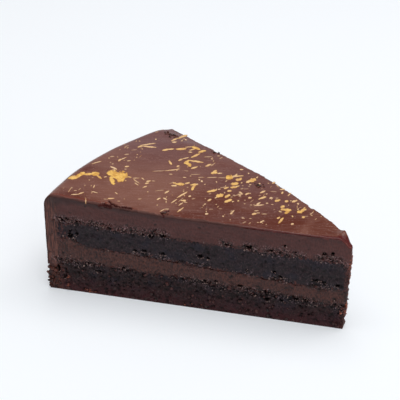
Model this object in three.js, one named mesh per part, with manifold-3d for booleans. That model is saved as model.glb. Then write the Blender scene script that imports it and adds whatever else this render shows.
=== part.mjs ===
// A slice of chocolate layer cake.
//
// Two dark sponges are sandwiched with ganache. A thicker ganache coat covers the top and the
// round outer side, and a thin glossy glaze covers the coat, splashed with gold. The slice was
// cut with a knife from a round cake, so its two cuts are flat and show every layer.
//
// Millimetres, +Z up. The slice stands on its flat base at z = 0. Its tip points along +X, its
// round outer side along -X, and its "near" cut faces -Y. The origin is under the middle of the
// slice. A place in the slice is given by
//   s  distance from the tip, measured from the point where the two cuts would meet,
//   v  0 on the near cut, 1 on the far cut,
//   z  height.

import * as THREE from 'three';
import { mergeVertices } from 'three/addons/utils/BufferGeometryUtils.js';
import Module from 'manifold-3d';

const wasm = await Module();
wasm.setup();

const { lerp, smoothstep, degToRad } = THREE.MathUtils;

// Plan of the slice.
const SLICE_LENGTH = 120;
const TIP_SETBACK = 19.3; // from the blunt tip out to where the two cuts would meet
const RIM_RADIUS = TIP_SETBACK + SLICE_LENGTH;
const CUT_ANGLE = degToRad(18); // each cut, away from the middle line
const APEX_X = 78.77; // puts the middle of the slice over the origin
const FAR_BEND = 71; // the far cut turns inwards here, as far from the apex
const FAR_TURN = Math.tan(degToRad(9.5));
const FAR_SOFTNESS = 4;
const NOSE_PINCH = { inset: 1.2, from: 13, to: 39 }; // it turns in a little more at the tip
const TIP_LEAN = 1.5; // how far the base of the tip stands back from its top

// Ganache and glaze.
const COAT_THICKNESS = 5.2; // on the outer side
const GLAZE_THICKNESS = 0.9;
const EDGE_ROUND = 4.2; // round edge between top and outer side
const TIP_ROUND = 3.4; // how far the top rolls down over the tip
const TIP_ROUND_LENGTH = 5;
const RIM_LIP = 3.2; // the top rises towards the rim, less so at the far cut
const LIP = { from: 60, to: 125, fall: 0.3, wear: 0.45, wearFrom: 0.9 };
const GLAZE_END = 10.6; // the glaze ends at this height on the outer side
const GLAZE_RAGGED = { depth: 0.9, waves: 5, seed: 71 };
const FOOT_LEDGE = 9.4; // the coat's foot stands out below this height
const FOOT_LUMPS = { mean: 0.6, swing: 0.4, waves: 7, height: 3, seed: 31 };
const SEAM_GAP = 0.22; // between one layer and the next
const GLAZE_GAP = 0.12;

// Seams between the layers: heights at the tip and at the rim, and how much they wander.
const SEAMS = {
  base: { tip: 0, rim: 0, wander: 0, pitch: 1, seed: 1 },
  lowerTop: { tip: 10.6, rim: 14.4, wander: 0.7, pitch: 13, seed: 3 },
  fillingTop: { tip: 16.5, rim: 21.6, wander: 0.6, pitch: 14, seed: 5, flare: 2.4 },
  upperTop: { tip: 28.3, rim: 30.9, wander: 0.6, pitch: 15, seed: 8, tipDip: 2.2 },
  top: { tip: 38.6, rim: 38.7, wander: 0.12, pitch: 24, seed: 11, tipDip: TIP_ROUND, lip: RIM_LIP },
};
const NEAR_ROW = 0.5; // rows of the lattice that the wander of the near and far cut is read from
const FAR_ROW = 7.5;
const FLARE_START = 103; // the filling runs up into the coat from here to the rim
const FLARE_LENGTH = 8;

// Crumb relief of the cut faces: depth and the size of a crumb. A coarse and a finer unevenness
// are added up, and the sum is lowered a little, as most crumbs break inwards.
const CRUMB = { depth: 0.55, length: 3.4, height: 2.3 };
const SMEAR = { depth: 0.22, length: 6.5, height: 2.1 };
const COARSE_SHARE = 0.65;
const FINE_SHARE = 0.35;
const FINER = { length: 2.3, height: 2.1 };
const INWARDS = 0.15;
const RELIEF_FADE = 1.5; // relief dies away below this height, so that the base stays flat
const TIP_FACE = 9; // the narrow face of the tip is read as this length of a cut
const SEED_STEP = { fine: 50, tip: 7, farCut: 20 };

// The layers, from the base up, with their rows of cells and the seeds of their relief.
const LAYERS = {
  lowerSponge: { lower: SEAMS.base, upper: SEAMS.lowerTop, kind: CRUMB, rows: 6, seed: 13 },
  filling: { lower: SEAMS.lowerTop, upper: SEAMS.fillingTop, kind: SMEAR, rows: 3, seed: 23 },
  upperSponge: { lower: SEAMS.fillingTop, upper: SEAMS.upperTop, kind: CRUMB, rows: 5, seed: 33 },
};
const COAT_ROWS = 2;
const COAT_SEED = { cuts: 41, tip: 61 };

// Stations of the meshes along, across and up the slice.
const COLUMNS = 38;
const LAYER_STATIONS = [0, 0.05, 0.27, 0.5, 0.73, 0.95, 1];
const COAT_STATIONS = [0, 0.05, 0.16, 0.27, 0.385, 0.5, 0.615, 0.73, 0.84, 0.95, 1];
const EDGE_COLUMNS = 4;
const WALL_COLUMNS = 6;
const FOOT_COLUMNS = 4;

// The larger gold splashes: place from the apex, length, width and turn from the X axis.
const SPLASHES = [
  { x: -129.7, y: -23.6, length: 8.2, width: 4.2, turn: 78 },
  { x: -126.3, y: -18.7, length: 6.6, width: 2.8, turn: 24 },
  { x: -119.2, y: -13.7, length: 10.2, width: 8.2, turn: -40 },
  { x: -116.6, y: -19.1, length: 4.6, width: 1.9, turn: -38 },
  { x: -124.3, y: -8.9, length: 4.6, width: 2.0, turn: -30 },
  { x: -125.7, y: 18.3, length: 5.4, width: 1.2, turn: 46 },
  { x: -124.2, y: 16.4, length: 5.4, width: 1.7, turn: 12 },
  { x: -114.9, y: 21.1, length: 9.6, width: 1.7, turn: 41 },
  { x: -108.2, y: 27.5, length: 5.2, width: 2.8, turn: 14 },
  { x: -104.3, y: 23.7, length: 9.2, width: 1.6, turn: 92 },
  { x: -119.3, y: 29.1, length: 6.2, width: 1.1, turn: 96 },
  { x: -102.6, y: 14.4, length: 6.2, width: 2.1, turn: -50 },
  { x: -100.9, y: 17.9, length: 4.2, width: 1.3, turn: 20 },
  { x: -109.1, y: 10.2, length: 4.8, width: 0.9, turn: -55 },
  { x: -93.5, y: 21.1, length: 3.2, width: 1.7, turn: 75 },
  { x: -98.9, y: 12.8, length: 3.4, width: 1.3, turn: 75 },
  { x: -90.0, y: 14.2, length: 3.9, width: 2.3, turn: 92 },
  { x: -82.7, y: 14.1, length: 4.0, width: 2.5, turn: 95 },
  { x: -81.0, y: 17.1, length: 3.8, width: 1.0, turn: 44 },
  { x: -74.1, y: 16.9, length: 5.4, width: 2.7, turn: 73 },
  { x: -79.0, y: 14.8, length: 2.9, width: 2.1, turn: 100 },
  { x: -77.6, y: 9.5, length: 5.4, width: 2.3, turn: -62 },
  { x: -96.0, y: -3.5, length: 5.6, width: 2.6, turn: 50 },
  { x: -90.1, y: -1.0, length: 5.6, width: 1.9, turn: -64 },
  { x: -82.5, y: -0.4, length: 4.6, width: 1.9, turn: 50 },
  { x: -77.9, y: -2.0, length: 3.9, width: 2.1, turn: 96 },
  { x: -72.5, y: -3.6, length: 3.6, width: 2.4, turn: 84 },
  { x: -78.7, y: 4.9, length: 2.6, width: 1.9, turn: 60 },
  { x: -63.2, y: 6.3, length: 3.8, width: 1.5, turn: 76 },
  { x: -57.2, y: 7.8, length: 3.2, width: 1.9, turn: -62 },
  { x: -51.5, y: 11.2, length: 2.8, width: 1.7, turn: 90 },
  { x: -50.1, y: 2.5, length: 5.6, width: 2.6, turn: -72 },
  { x: -45.2, y: 5.0, length: 5.6, width: 2.3, turn: 86 },
  { x: -48.7, y: -5.6, length: 5.2, width: 1.7, turn: -76 },
  { x: -59.2, y: -7.0, length: 2.1, width: 1.7, turn: 60 },
  { x: -66.5, y: -10.7, length: 3.8, width: 1.1, turn: -76 },
];
const SPLASH_SIDES = 8;
const SPLASH_PROUD = 0.2; // above the glaze
const SPLASH_ROOT = 0.35; // sunk into the glaze
const SPLASH_RAGGED = 0.22;
const RANDOM_SEED = 20;

const WELD = 1e-4; // corners closer than this are one

// A repeatable number from 0 to 1 for each corner of a square lattice.
function lattice(i, j, seed) {
  const mixed = Math.sin(i * 127.1 + j * 311.7 + seed * 74.7) * 43758.5453;
  return mixed - Math.floor(mixed);
}

// Smooth unevenness from -1 to 1 that changes over about one unit of x and y.
function unevenness(x, y, seed) {
  const i = Math.floor(x);
  const j = Math.floor(y);
  const fx = smoothstep(x - i, 0, 1);
  const fy = smoothstep(y - j, 0, 1);
  const low = lerp(lattice(i, j, seed), lattice(i + 1, j, seed), fx);
  const high = lerp(lattice(i, j + 1, seed), lattice(i + 1, j + 1, seed), fx);
  return 2 * lerp(low, high, fy) - 1;
}

// Part of the lip's height at distance s from the tip. It is worn down at the far corner.
function lipShare(s, v) {
  const across = 1 - LIP.fall * v - LIP.wear * smoothstep(v, LIP.wearFrom, 1);
  return across * smoothstep(s, LIP.from, LIP.to);
}

// Height of a seam at distance s from the tip, between the near cut and the far cut.
function seamHeight(seam, s, v) {
  const trend = lerp(seam.tip, seam.rim, s / SLICE_LENGTH);
  const near = unevenness(s / seam.pitch, NEAR_ROW, seam.seed);
  const far = unevenness(s / seam.pitch, FAR_ROW, seam.seed);
  const flare = (seam.flare ?? 0) * smoothstep(s, FLARE_START, FLARE_START + FLARE_LENGTH);
  const dip = (seam.tipDip ?? 0) * (1 - smoothstep(s, 0, TIP_ROUND_LENGTH));
  const lip = (seam.lip ?? 0) * lipShare(s, v);
  return trend + seam.wander * lerp(near, far, v) + flare + lip - dip;
}

// The far cut is straight from the rim to the bend, then turns a little towards the near cut.
function farAngle(rho) {
  const past = (FAR_BEND - rho) / FAR_SOFTNESS;
  const turned = FAR_TURN * FAR_SOFTNESS * Math.log1p(Math.exp(past));
  const pinched = NOSE_PINCH.inset * (1 - smoothstep(rho, NOSE_PINCH.from, NOSE_PINCH.to));
  return CUT_ANGLE - Math.asin((turned + pinched) / rho);
}

// Point of the slice. Relief pushes the two cuts outwards, by an amount in millimetres.
function slicePoint(s, v, z, relief = 0) {
  const rho = TIP_SETBACK + s;
  const side = Math.round(2 * v - 1);
  const onCut = v === 0 || v === 1 ? side : 0;
  const angle = lerp(-CUT_ANGLE, farAngle(rho), v) + (onCut * relief) / rho;
  return new THREE.Vector3(APEX_X - rho * Math.cos(angle), rho * Math.sin(angle), z);
}

// The blunt tip leans back towards its base.
function tipStart(z) {
  return TIP_LEAN * (1 - z / SEAMS.top.tip) ** 2;
}

// Crumb relief on a cut or on the tip.
function crumbRelief(kind, s, z, seed) {
  const along = s / kind.length;
  const up = z / kind.height;
  const coarse = unevenness(along, up, seed);
  const fine = unevenness(FINER.length * along, FINER.height * up, seed + SEED_STEP.fine);
  return kind.depth * (COARSE_SHARE * coarse + FINE_SHARE * fine - INWARDS);
}

// A box mesh whose points are moved by shape(u, v, w). Each of u, v and w runs from 0 to 1.
function mouldedBox(columns, stations, rows, shape) {
  const acrossCells = stations.length - 1;
  const box = new THREE.BoxGeometry(1, 1, 1, columns, acrossCells, rows);
  const position = box.attributes.position;
  for (let i = 0; i < position.count; i += 1) {
    const u = Math.round((0.5 - position.getX(i)) * columns) / columns;
    const v = stations[Math.round((position.getY(i) + 0.5) * acrossCells)];
    const w = Math.round((position.getZ(i) + 0.5) * rows) / rows;
    const point = shape(u, v, w);
    position.setXYZ(i, point.x, point.y, point.z);
  }
  box.deleteAttribute('normal');
  box.deleteAttribute('uv');
  return mergeVertices(box, WELD);
}

// One flat layer between two seams, from the tip to the inside of the coat.
function layerGeometry({ lower, upper, kind, rows, seed }) {
  const rimEnd = SLICE_LENGTH - COAT_THICKNESS;
  const lift = lower === SEAMS.base ? 0 : SEAM_GAP;
  return mouldedBox(COLUMNS, LAYER_STATIONS, rows, (u, v, w) => {
    const along = u * rimEnd;
    const z = lerp(seamHeight(lower, along, v) + lift, seamHeight(upper, along, v), w);
    const shift = u === 0 ? crumbRelief(kind, TIP_FACE * v, z, seed + SEED_STEP.tip) : 0;
    const s = lerp(tipStart(z) + shift, rimEnd, u);
    const fade = smoothstep(z, 0, RELIEF_FADE);
    return slicePoint(s, v, z, fade * crumbRelief(kind, s, z, seed + SEED_STEP.farCut * v));
  });
}

// Height of the slice's top, with depth measured down through glaze and coat.
function topHeight(s, v, depth) {
  return seamHeight(SEAMS.top, s, v) - depth;
}

// The outer skin's path: along the top, over the round edge and down the outer side to endZ.
// Depth is measured inwards from the finished surface.
function skinPoint(u, v, depth, endZ, stops) {
  const round = EDGE_ROUND - depth;
  const wallS = SLICE_LENGTH - depth;
  const edgeS = wallS - round;
  const edgeZ = topHeight(edgeS, v, depth) - round;
  if (u <= stops.edge) {
    const s = lerp(tipStart(SEAMS.top.tip), edgeS, u / stops.edge);
    return { s, z: topHeight(s, v, depth) };
  }
  if (u <= stops.wall) {
    const turn = (Math.PI / 2) * ((u - stops.edge) / (stops.wall - stops.edge));
    return { s: edgeS + round * Math.sin(turn), z: edgeZ + round * Math.cos(turn) };
  }
  return { s: wallS, z: lerp(edgeZ, endZ, (u - stops.wall) / (stops.foot - stops.wall)) };
}

// The coat's inner side: along the top of the upper sponge, then down behind the layers.
function coatInnerPoint(u, v, stops) {
  const wallS = SLICE_LENGTH - COAT_THICKNESS + SEAM_GAP;
  const cornerZ = seamHeight(SEAMS.upperTop, wallS, v) + SEAM_GAP;
  if (u <= stops.edge) {
    const s = (u / stops.edge) * wallS;
    return { s, z: seamHeight(SEAMS.upperTop, s, v) + SEAM_GAP };
  }
  const reach = (u - stops.edge) / (1 - stops.edge);
  return { s: wallS, z: cornerZ * (1 - reach) };
}

// The coat's outer side: it follows the glaze, and below it stands out as a lumpy foot.
function coatOuterPoint(u, v, stops) {
  const depth = GLAZE_THICKNESS + GLAZE_GAP;
  if (u <= stops.foot) {
    return skinPoint(u, v, depth, FOOT_LEDGE, stops);
  }
  const z = lerp(FOOT_LEDGE, 0, (u - stops.foot) / (1 - stops.foot));
  const wave = unevenness(FOOT_LUMPS.waves * v, z / FOOT_LUMPS.height, FOOT_LUMPS.seed);
  const lump = FOOT_LUMPS.mean + FOOT_LUMPS.swing * wave;
  return { s: SLICE_LENGTH - depth + depth * lump, z };
}

// Thick ganache over the top and down the outer side to the base.
function coatGeometry() {
  const columns = COLUMNS + EDGE_COLUMNS + WALL_COLUMNS + FOOT_COLUMNS;
  const stops = skinStops(columns);
  return mouldedBox(columns, COAT_STATIONS, COAT_ROWS, (u, v, w) => {
    const inner = coatInnerPoint(u, v, stops);
    const outer = coatOuterPoint(u, v, stops);
    const z = lerp(inner.z, outer.z, w);
    const s = lerp(inner.s, outer.s, w);
    const shift = u === 0 ? crumbRelief(SMEAR, TIP_FACE * v, z, COAT_SEED.tip) : 0;
    const seed = COAT_SEED.cuts + SEED_STEP.farCut * v;
    return slicePoint(s + shift, v, z, crumbRelief(SMEAR, s, z, seed));
  });
}

// Where along the skin's path its top, round edge and wall end.
function skinStops(columns) {
  const edge = COLUMNS / columns;
  const wall = (COLUMNS + EDGE_COLUMNS) / columns;
  return { edge, wall, foot: (COLUMNS + EDGE_COLUMNS + WALL_COLUMNS) / columns };
}

// Thin glaze over the coat. It ends raggedly above the foot of the outer side.
function glazeGeometry() {
  const columns = COLUMNS + EDGE_COLUMNS + WALL_COLUMNS;
  const stops = skinStops(columns);
  return mouldedBox(columns, COAT_STATIONS, 1, (u, v, w) => {
    const wave = unevenness(GLAZE_RAGGED.waves * v, NEAR_ROW, GLAZE_RAGGED.seed);
    const endZ = GLAZE_END + GLAZE_RAGGED.depth * wave;
    const { s, z } = skinPoint(u, v, (1 - w) * GLAZE_THICKNESS, endZ, stops);
    return slicePoint(s, v, z);
  });
}

// A small linear congruential generator, so that every build draws the same numbers.
function randomNumbers(seed) {
  let state = seed;
  return () => {
    state = (state * 1103515245 + 12345) % 2147483648;
    return state / 2147483648;
  };
}

// An irregular flat splash, sunk into the glaze and lying along its slope.
function splashGeometry(splash, random) {
  const outline = [];
  for (let i = 0; i < SPLASH_SIDES; i += 1) {
    const angle = (2 * Math.PI * i) / SPLASH_SIDES;
    const reach = 1 + SPLASH_RAGGED * (2 * random() - 1);
    const x = (reach * splash.length * Math.cos(angle)) / 2;
    const y = (reach * splash.width * Math.sin(angle)) / 2;
    outline.push(new THREE.Vector2(x, y));
  }
  const depth = SPLASH_ROOT + SPLASH_PROUD;
  const shape = new THREE.Shape(outline);
  const geometry = new THREE.ExtrudeGeometry(shape, { depth, bevelEnabled: false });
  geometry.rotateZ(degToRad(splash.turn));
  geometry.translate(APEX_X + splash.x, splash.y, 0);
  const position = geometry.attributes.position;
  for (let i = 0; i < position.count; i += 1) {
    const rho = Math.hypot(APEX_X - position.getX(i), position.getY(i));
    const v = 0.5 + Math.asin(position.getY(i) / rho) / (2 * CUT_ANGLE);
    const lift = topHeight(rho - TIP_SETBACK, v, SPLASH_ROOT);
    position.setZ(i, position.getZ(i) + lift);
  }
  geometry.deleteAttribute('normal');
  geometry.deleteAttribute('uv');
  return mergeVertices(geometry, WELD);
}

function toSolid(geometry) {
  const vertProperties = new Float32Array(geometry.attributes.position.array);
  const triVerts = new Uint32Array(geometry.index.array);
  return new wasm.Manifold(new wasm.Mesh({ numProp: 3, vertProperties, triVerts }));
}

function toGeometry(solid) {
  const mesh = solid.getMesh();
  const geometry = new THREE.BufferGeometry();
  geometry.setAttribute('position', new THREE.BufferAttribute(mesh.vertProperties, 3));
  geometry.setIndex(new THREE.BufferAttribute(mesh.triVerts, 1));
  return geometry;
}

// The glaze with its gold splashes fused on.
function splashedGlazeGeometry() {
  const random = randomNumbers(RANDOM_SEED);
  let solid = toSolid(glazeGeometry());
  for (const splash of SPLASHES) {
    solid = solid.add(toSolid(splashGeometry(splash, random)));
  }
  return toGeometry(solid);
}

function named(name, geometry, color, roughness, metalness = 0) {
  const material = new THREE.MeshStandardMaterial({ color, roughness, metalness });
  const mesh = new THREE.Mesh(geometry, material);
  mesh.name = name;
  return mesh;
}

const slice = new THREE.Group();
slice.add(named('lower_sponge', layerGeometry(LAYERS.lowerSponge), 0x2a1d20, 0.95));
slice.add(named('filling', layerGeometry(LAYERS.filling), 0x423031, 0.7));
slice.add(named('upper_sponge', layerGeometry(LAYERS.upperSponge), 0x2a2226, 0.95));
slice.add(named('ganache_coat', coatGeometry(), 0x4d3635, 0.6));
slice.add(named('glaze', splashedGlazeGeometry(), 0x5a3a31, 0.2));

export default slice;
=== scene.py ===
"""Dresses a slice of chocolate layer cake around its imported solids.

The slice has two moist sponges, a ganache filling, a thick ganache coat and a thin glossy glaze
with gold splashes. Every layer is modelled again here as a fine mesh with the same form as its
solid, broken up by crumbs, pores and knife marks, and loose crumbs are added.

A place in the slice is given by s, the distance from the tip, by v, which runs from 0 on the near
cut to 1 on the far cut, and by the height z. Sizes are in millimetres until a mesh is placed.
"""

from __future__ import annotations

import logging
import math
from dataclasses import dataclass, field
from enum import Enum

import bmesh
import bpy
import numpy as np
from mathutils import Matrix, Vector

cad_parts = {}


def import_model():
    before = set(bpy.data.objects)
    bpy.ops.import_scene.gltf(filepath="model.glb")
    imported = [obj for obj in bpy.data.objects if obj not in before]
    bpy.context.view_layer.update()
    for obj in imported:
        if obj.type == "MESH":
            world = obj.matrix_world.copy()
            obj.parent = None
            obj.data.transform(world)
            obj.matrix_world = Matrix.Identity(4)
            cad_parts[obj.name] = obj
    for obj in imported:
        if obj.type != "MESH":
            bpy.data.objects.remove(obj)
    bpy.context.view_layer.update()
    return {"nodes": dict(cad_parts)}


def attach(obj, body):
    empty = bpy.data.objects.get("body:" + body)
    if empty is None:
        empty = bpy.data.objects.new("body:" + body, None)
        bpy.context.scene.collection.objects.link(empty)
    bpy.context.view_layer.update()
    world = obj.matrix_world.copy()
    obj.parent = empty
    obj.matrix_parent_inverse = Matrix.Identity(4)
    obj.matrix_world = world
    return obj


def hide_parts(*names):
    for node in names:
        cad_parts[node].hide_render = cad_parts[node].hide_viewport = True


LOG = logging.getLogger("cake_slice")
MM = 0.001
Array = np.ndarray
Socket = bpy.types.NodeSocket

# Each finer grain is weaker and smaller by these factors, and all of them come to about the peak.
GRAIN_FADE = 0.55
GRAIN_STEP = 2.1
GRAIN_PEAK = 1.4
# The least radius of a pore, what chance adds to it, and how far its outline is bent.
PORE_RADIUS = 0.2
PORE_SPREAD = 0.6
PORE_BEND = 0.32
# How far the relief of the cuts and the tip reaches into the slice before it has faded.
RELIEF_REACH = 3.0
# Share of a crumb's size that its middle keeps above the table, so that no corner of it goes through.
CLEAR_OF_TABLE = 0.86


def lattice(i: Array, j: Array, seed: float) -> Array:
    """Gives a repeatable number from 0 to 1 for each corner of a square lattice, by its seed."""
    mixed = np.sin(i * 127.1 + j * 311.7 + seed * 74.7) * 43758.5453
    return mixed - np.floor(mixed)


def ease(x: Array, low: float, high: float) -> Array:
    """Goes smoothly from 0, where x is at low, to 1, where it is at high."""
    t = np.clip((x - low) / (high - low), 0.0, 1.0)
    return t * t * (3 - 2 * t)


def unevenness(x: Array, y: Array, seed: float) -> Array:
    """Gives smooth unevenness from -1 to 1 that changes over about one unit of x and y.

    Args:
        x, y: Where to evaluate it.
        seed: Picks the pattern.

    Returns:
        The unevenness at each place.
    """
    x, y = np.broadcast_arrays(np.asarray(x, float), np.asarray(y, float))
    i, j = np.floor(x), np.floor(y)
    fx, fy = ease(x - i, 0, 1), ease(y - j, 0, 1)
    low = lattice(i, j, seed) * (1 - fx) + lattice(i + 1, j, seed) * fx
    high = lattice(i, j + 1, seed) * (1 - fx) + lattice(i + 1, j + 1, seed) * fx
    return 2 * (low * (1 - fy) + high * fy) - 1


def grain(x: Array, y: Array, seed: float, octaves: int = 3) -> Array:
    """Adds finer and finer unevenness, as in a broken crumb.

    Args:
        x, y: Where to evaluate it.
        seed: Picks the pattern.
        octaves: How many sizes of grain are added.

    Returns:
        Grain from about -1 to 1.
    """
    total = np.zeros(np.broadcast(x, y).shape)
    for k in range(octaves):
        finer = GRAIN_STEP**k
        total += GRAIN_FADE**k * unevenness(x * finer + 17 * k, y * finer - 9 * k, seed + 13 * k)
    return total / GRAIN_PEAK


def pores(x: Array, y: Array, seed: float, share: float) -> Array:
    """Scatters roundish hollows of mixed size, about one for each unit of x and y.

    Args:
        x, y: Where to evaluate it.
        seed: Picks the pattern.
        share: Part of the places that hold a pore, from 0 to 1.

    Returns:
        0 outside the pores, rising to 1 at the middle of each.
    """
    x, y = np.broadcast_arrays(np.asarray(x, float), np.asarray(y, float))
    bend_x, bend_y = (PORE_BEND * unevenness(2.3 * x, 2.3 * y, seed + k) for k in (5, 6))
    x, y = x + bend_x, y + bend_y
    column, row = np.floor(x), np.floor(y)
    depth = np.zeros(x.shape)
    for di in (-1, 0, 1):
        for dj in (-1, 0, 1):
            i, j = column + di, row + dj
            centre_x = i + lattice(i, j, seed)
            centre_y = j + lattice(i, j, seed + 1)
            radius = PORE_RADIUS + PORE_SPREAD * lattice(i, j, seed + 2)
            held = lattice(i, j, seed + 3) < share
            away = np.hypot(x - centre_x, y - centre_y) / radius
            depth = np.maximum(depth, np.where(held, 1 - away, 0.0))
    return np.clip(depth, 0.0, 1.0)


@dataclass(frozen=True)
class Seam:
    """The surface where one layer of the cake meets the next.

    Heights are at the tip and at the rim. The seam wanders up and down around that slope.
    """

    tip: float
    rim: float
    wander: float = 0.0
    pitch: float = 1.0
    seed: float = 1.0
    flare: float = 0.0
    tip_dip: float = 0.0
    lip: float = 0.0


BASE = Seam(0.0, 0.0)
LOWER_TOP = Seam(10.6, 14.4, 0.7, 13, 3)
FILLING_TOP = Seam(16.5, 21.6, 0.6, 14, 5, flare=2.4)
UPPER_TOP = Seam(28.3, 30.9, 0.6, 15, 8, tip_dip=2.2)
TOP = Seam(38.6, 38.7, 0.12, 24, 11, tip_dip=3.4, lip=3.2)


@dataclass(frozen=True)
class SliceForm:
    """The form of the whole slice, with the same sizes as its solids."""

    length: float = 120.0
    tip_setback: float = 19.3
    cut_angle: float = math.radians(18)
    apex_x: float = 78.77
    far_bend: float = 71.0
    far_turn: float = math.tan(math.radians(9.5))
    far_softness: float = 4.0
    nose_pinch: float = 1.2
    nose_reach: tuple[float, float] = (13.0, 39.0)
    tip_lean: float = 1.5
    coat: float = 5.2
    glaze: float = 0.9
    edge_round: float = 4.2
    glaze_end: float = 10.6
    glaze_ragged: float = 0.9
    foot_ledge: float = 9.4
    flare_start: float = 103.0
    flare_length: float = 8.0
    tip_dip_length: float = 5.0
    lip_reach: tuple[float, float] = (60.0, 125.0)
    lip_fall: float = 0.3
    lip_wear: float = 0.45
    lip_wear_from: float = 0.9

    def seam_height(self, seam: Seam, s: Array, v: Array) -> Array:
        """Gives the height of a seam.

        Args:
            seam: The seam.
            s, v: The place on the plan.

        Returns:
            The heights.
        """
        trend = seam.tip + (seam.rim - seam.tip) * s / self.length
        near = unevenness(s / seam.pitch, 0.5, seam.seed)
        far = unevenness(s / seam.pitch, 7.5, seam.seed)
        flare = seam.flare * ease(s, self.flare_start, self.flare_start + self.flare_length)
        dip = seam.tip_dip * (1 - ease(s, 0, self.tip_dip_length))
        across = 1 - self.lip_fall * v - self.lip_wear * ease(v, self.lip_wear_from, 1)
        lip = seam.lip * across * ease(s, *self.lip_reach)
        return trend + seam.wander * (near + (far - near) * v) + flare + lip - dip

    def far_angle(self, rho: Array) -> Array:
        """Gives the direction of the far cut, which turns inwards near the tip.

        Args:
            rho: Distance from the point where the two cuts would meet.

        Returns:
            The angle from the middle line.
        """
        inset = self.far_turn * self.far_softness
        inset = inset * np.log1p(np.exp((self.far_bend - rho) / self.far_softness))
        inset = inset + self.nose_pinch * (1 - ease(rho, *self.nose_reach))
        return self.cut_angle - np.arcsin(np.clip(inset / rho, -1, 1))

    def width(self, s: Array) -> Array:
        """Gives the distance from the near cut to the far cut, measured around the arc."""
        rho = self.tip_setback + s
        return rho * (self.cut_angle + self.far_angle(rho))

    def tip_start(self, z: Array) -> Array:
        """Gives how far the blunt tip stands back at each height."""
        return self.tip_lean * np.clip(1 - z / TOP.tip, 0, 1) ** 2

    def points(self, s: Array, v: Array, z: Array, sideways: Array | float = 0.0) -> Array:
        """Turns places in the slice into points of the frame.

        Args:
            s, v, z: The place in the slice.
            sideways: Shift towards the far cut, in millimetres.

        Returns:
            One row of x, y and z in metres for each place.
        """
        rho = self.tip_setback + s
        angle = v * (self.far_angle(rho) + self.cut_angle) - self.cut_angle + sideways / rho
        x = self.apex_x - rho * np.cos(angle)
        return np.stack([x, rho * np.sin(angle), z], axis=-1) * MM

    def place(self, x: Array, y: Array) -> tuple[Array, Array]:
        """Finds s and v of points on the plan of the slice.

        Args:
            x: Millimetres along X from the point where the two cuts would meet.
            y: Millimetres along Y.

        Returns:
            s and v of each point.
        """
        rho = np.hypot(x, y)
        angle = np.arctan2(y, -x)
        return rho - self.tip_setback, (angle + self.cut_angle) / (self.far_angle(rho) + self.cut_angle)


FORM = SliceForm()


@dataclass(frozen=True)
class View:
    """The camera, in whose square picture the marks on the top are placed.

    Its eye is in millimetres. A place in the picture is a column and a row, from its upper left.
    """

    eye: tuple[float, float, float] = (202.87, -329.0, 232.64)
    look: tuple[float, float, float] = (-0.4829, 0.7489, -0.4539)
    lens: float = 99.0
    sensor: float = 36.0
    picture: float = 400.0

    def seen(self, points: Array) -> tuple[Array, Array]:
        """Finds where points of the frame show in the picture.

        Args:
            points: Rows of x, y and z in metres.

        Returns:
            The columns and the rows.
        """
        forward = np.array(self.look) / np.linalg.norm(self.look)
        right = np.cross(forward, (0, 0, 1))
        right = right / np.linalg.norm(right)
        away = points / MM - np.array(self.eye)
        scale = self.picture * self.lens / self.sensor / (away @ forward)
        middle = self.picture / 2
        return middle + scale * (away @ right), middle - scale * (away @ np.cross(right, forward))

    def seen_on_top(self, s: Array, v: Array) -> tuple[Array, Array]:
        """Finds the columns and rows where places on the top show in the picture."""
        return self.seen(FORM.points(s, v, FORM.seam_height(TOP, s, v)))


VIEW = View()


@dataclass(frozen=True)
class Texture:
    """How the cut surface of one food breaks up. Depths and sizes are in millimetres."""

    broad: float
    fine: float
    fine_size: tuple[float, float]
    pore_depth: float
    pore_size: float
    pore_share: float


SPONGE_TEXTURE = Texture(0.5, 0.42, (1.0, 0.8), 0.8, 1.5, 0.34)
FUDGE_TEXTURE = Texture(0.3, 0.2, (1.1, 0.8), 0.55, 1.7, 0.15)
GANACHE_TEXTURE = Texture(0.2, 0.2, (0.8, 0.6), 0.3, 1.4, 0.12)
COAT_TEXTURE = Texture(0.16, 0.12, (1.6, 0.6), 0.15, 1.2, 0.04)
GLAZE_EDGE_TEXTURE = Texture(0.25, 0.3, (1.4, 3.0), 0.0, 2.0, 0.0)
FOOT_TEXTURE = Texture(0.5, 0.5, (1.1, 1.0), 0.9, 1.6, 0.4)
SIDE_TEXTURE = Texture(0.2, 0.16, (0.7, 3.6), 0.4, 1.7, 0.16)


@dataclass(frozen=True)
class Tear:
    """A seam along which the knife tore crumbs loose, in patches.

    Spread is the height of the torn band and shift how far it lies above the seam. The patches
    on the near cut have a place s, a length and a strength. Elsewhere patches come at random,
    about one in each pitch, and cover says how much of the seam they take.
    """

    seam: Seam
    spread: float
    shift: float
    patches: tuple[tuple[float, float, float], ...]
    pitch: float
    cover: float
    seed: float

    def patch(self, run: Array) -> Array:
        """Gives how torn the seam is along the unrolled strip, from 0 to 1."""
        chance = np.clip(1.7 * unevenness(run / self.pitch, 3.3, self.seed) + self.cover, 0, 1)
        named = np.zeros(run.shape)
        for middle, length, strength in self.patches:
            named = np.maximum(named, strength * np.exp(-((2 * (run - middle) / length) ** 4)))
        at_tip = run > -RELIEF.tip_width
        return np.where(run > 0, named, np.where(at_tip, 1.0, chance))


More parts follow.
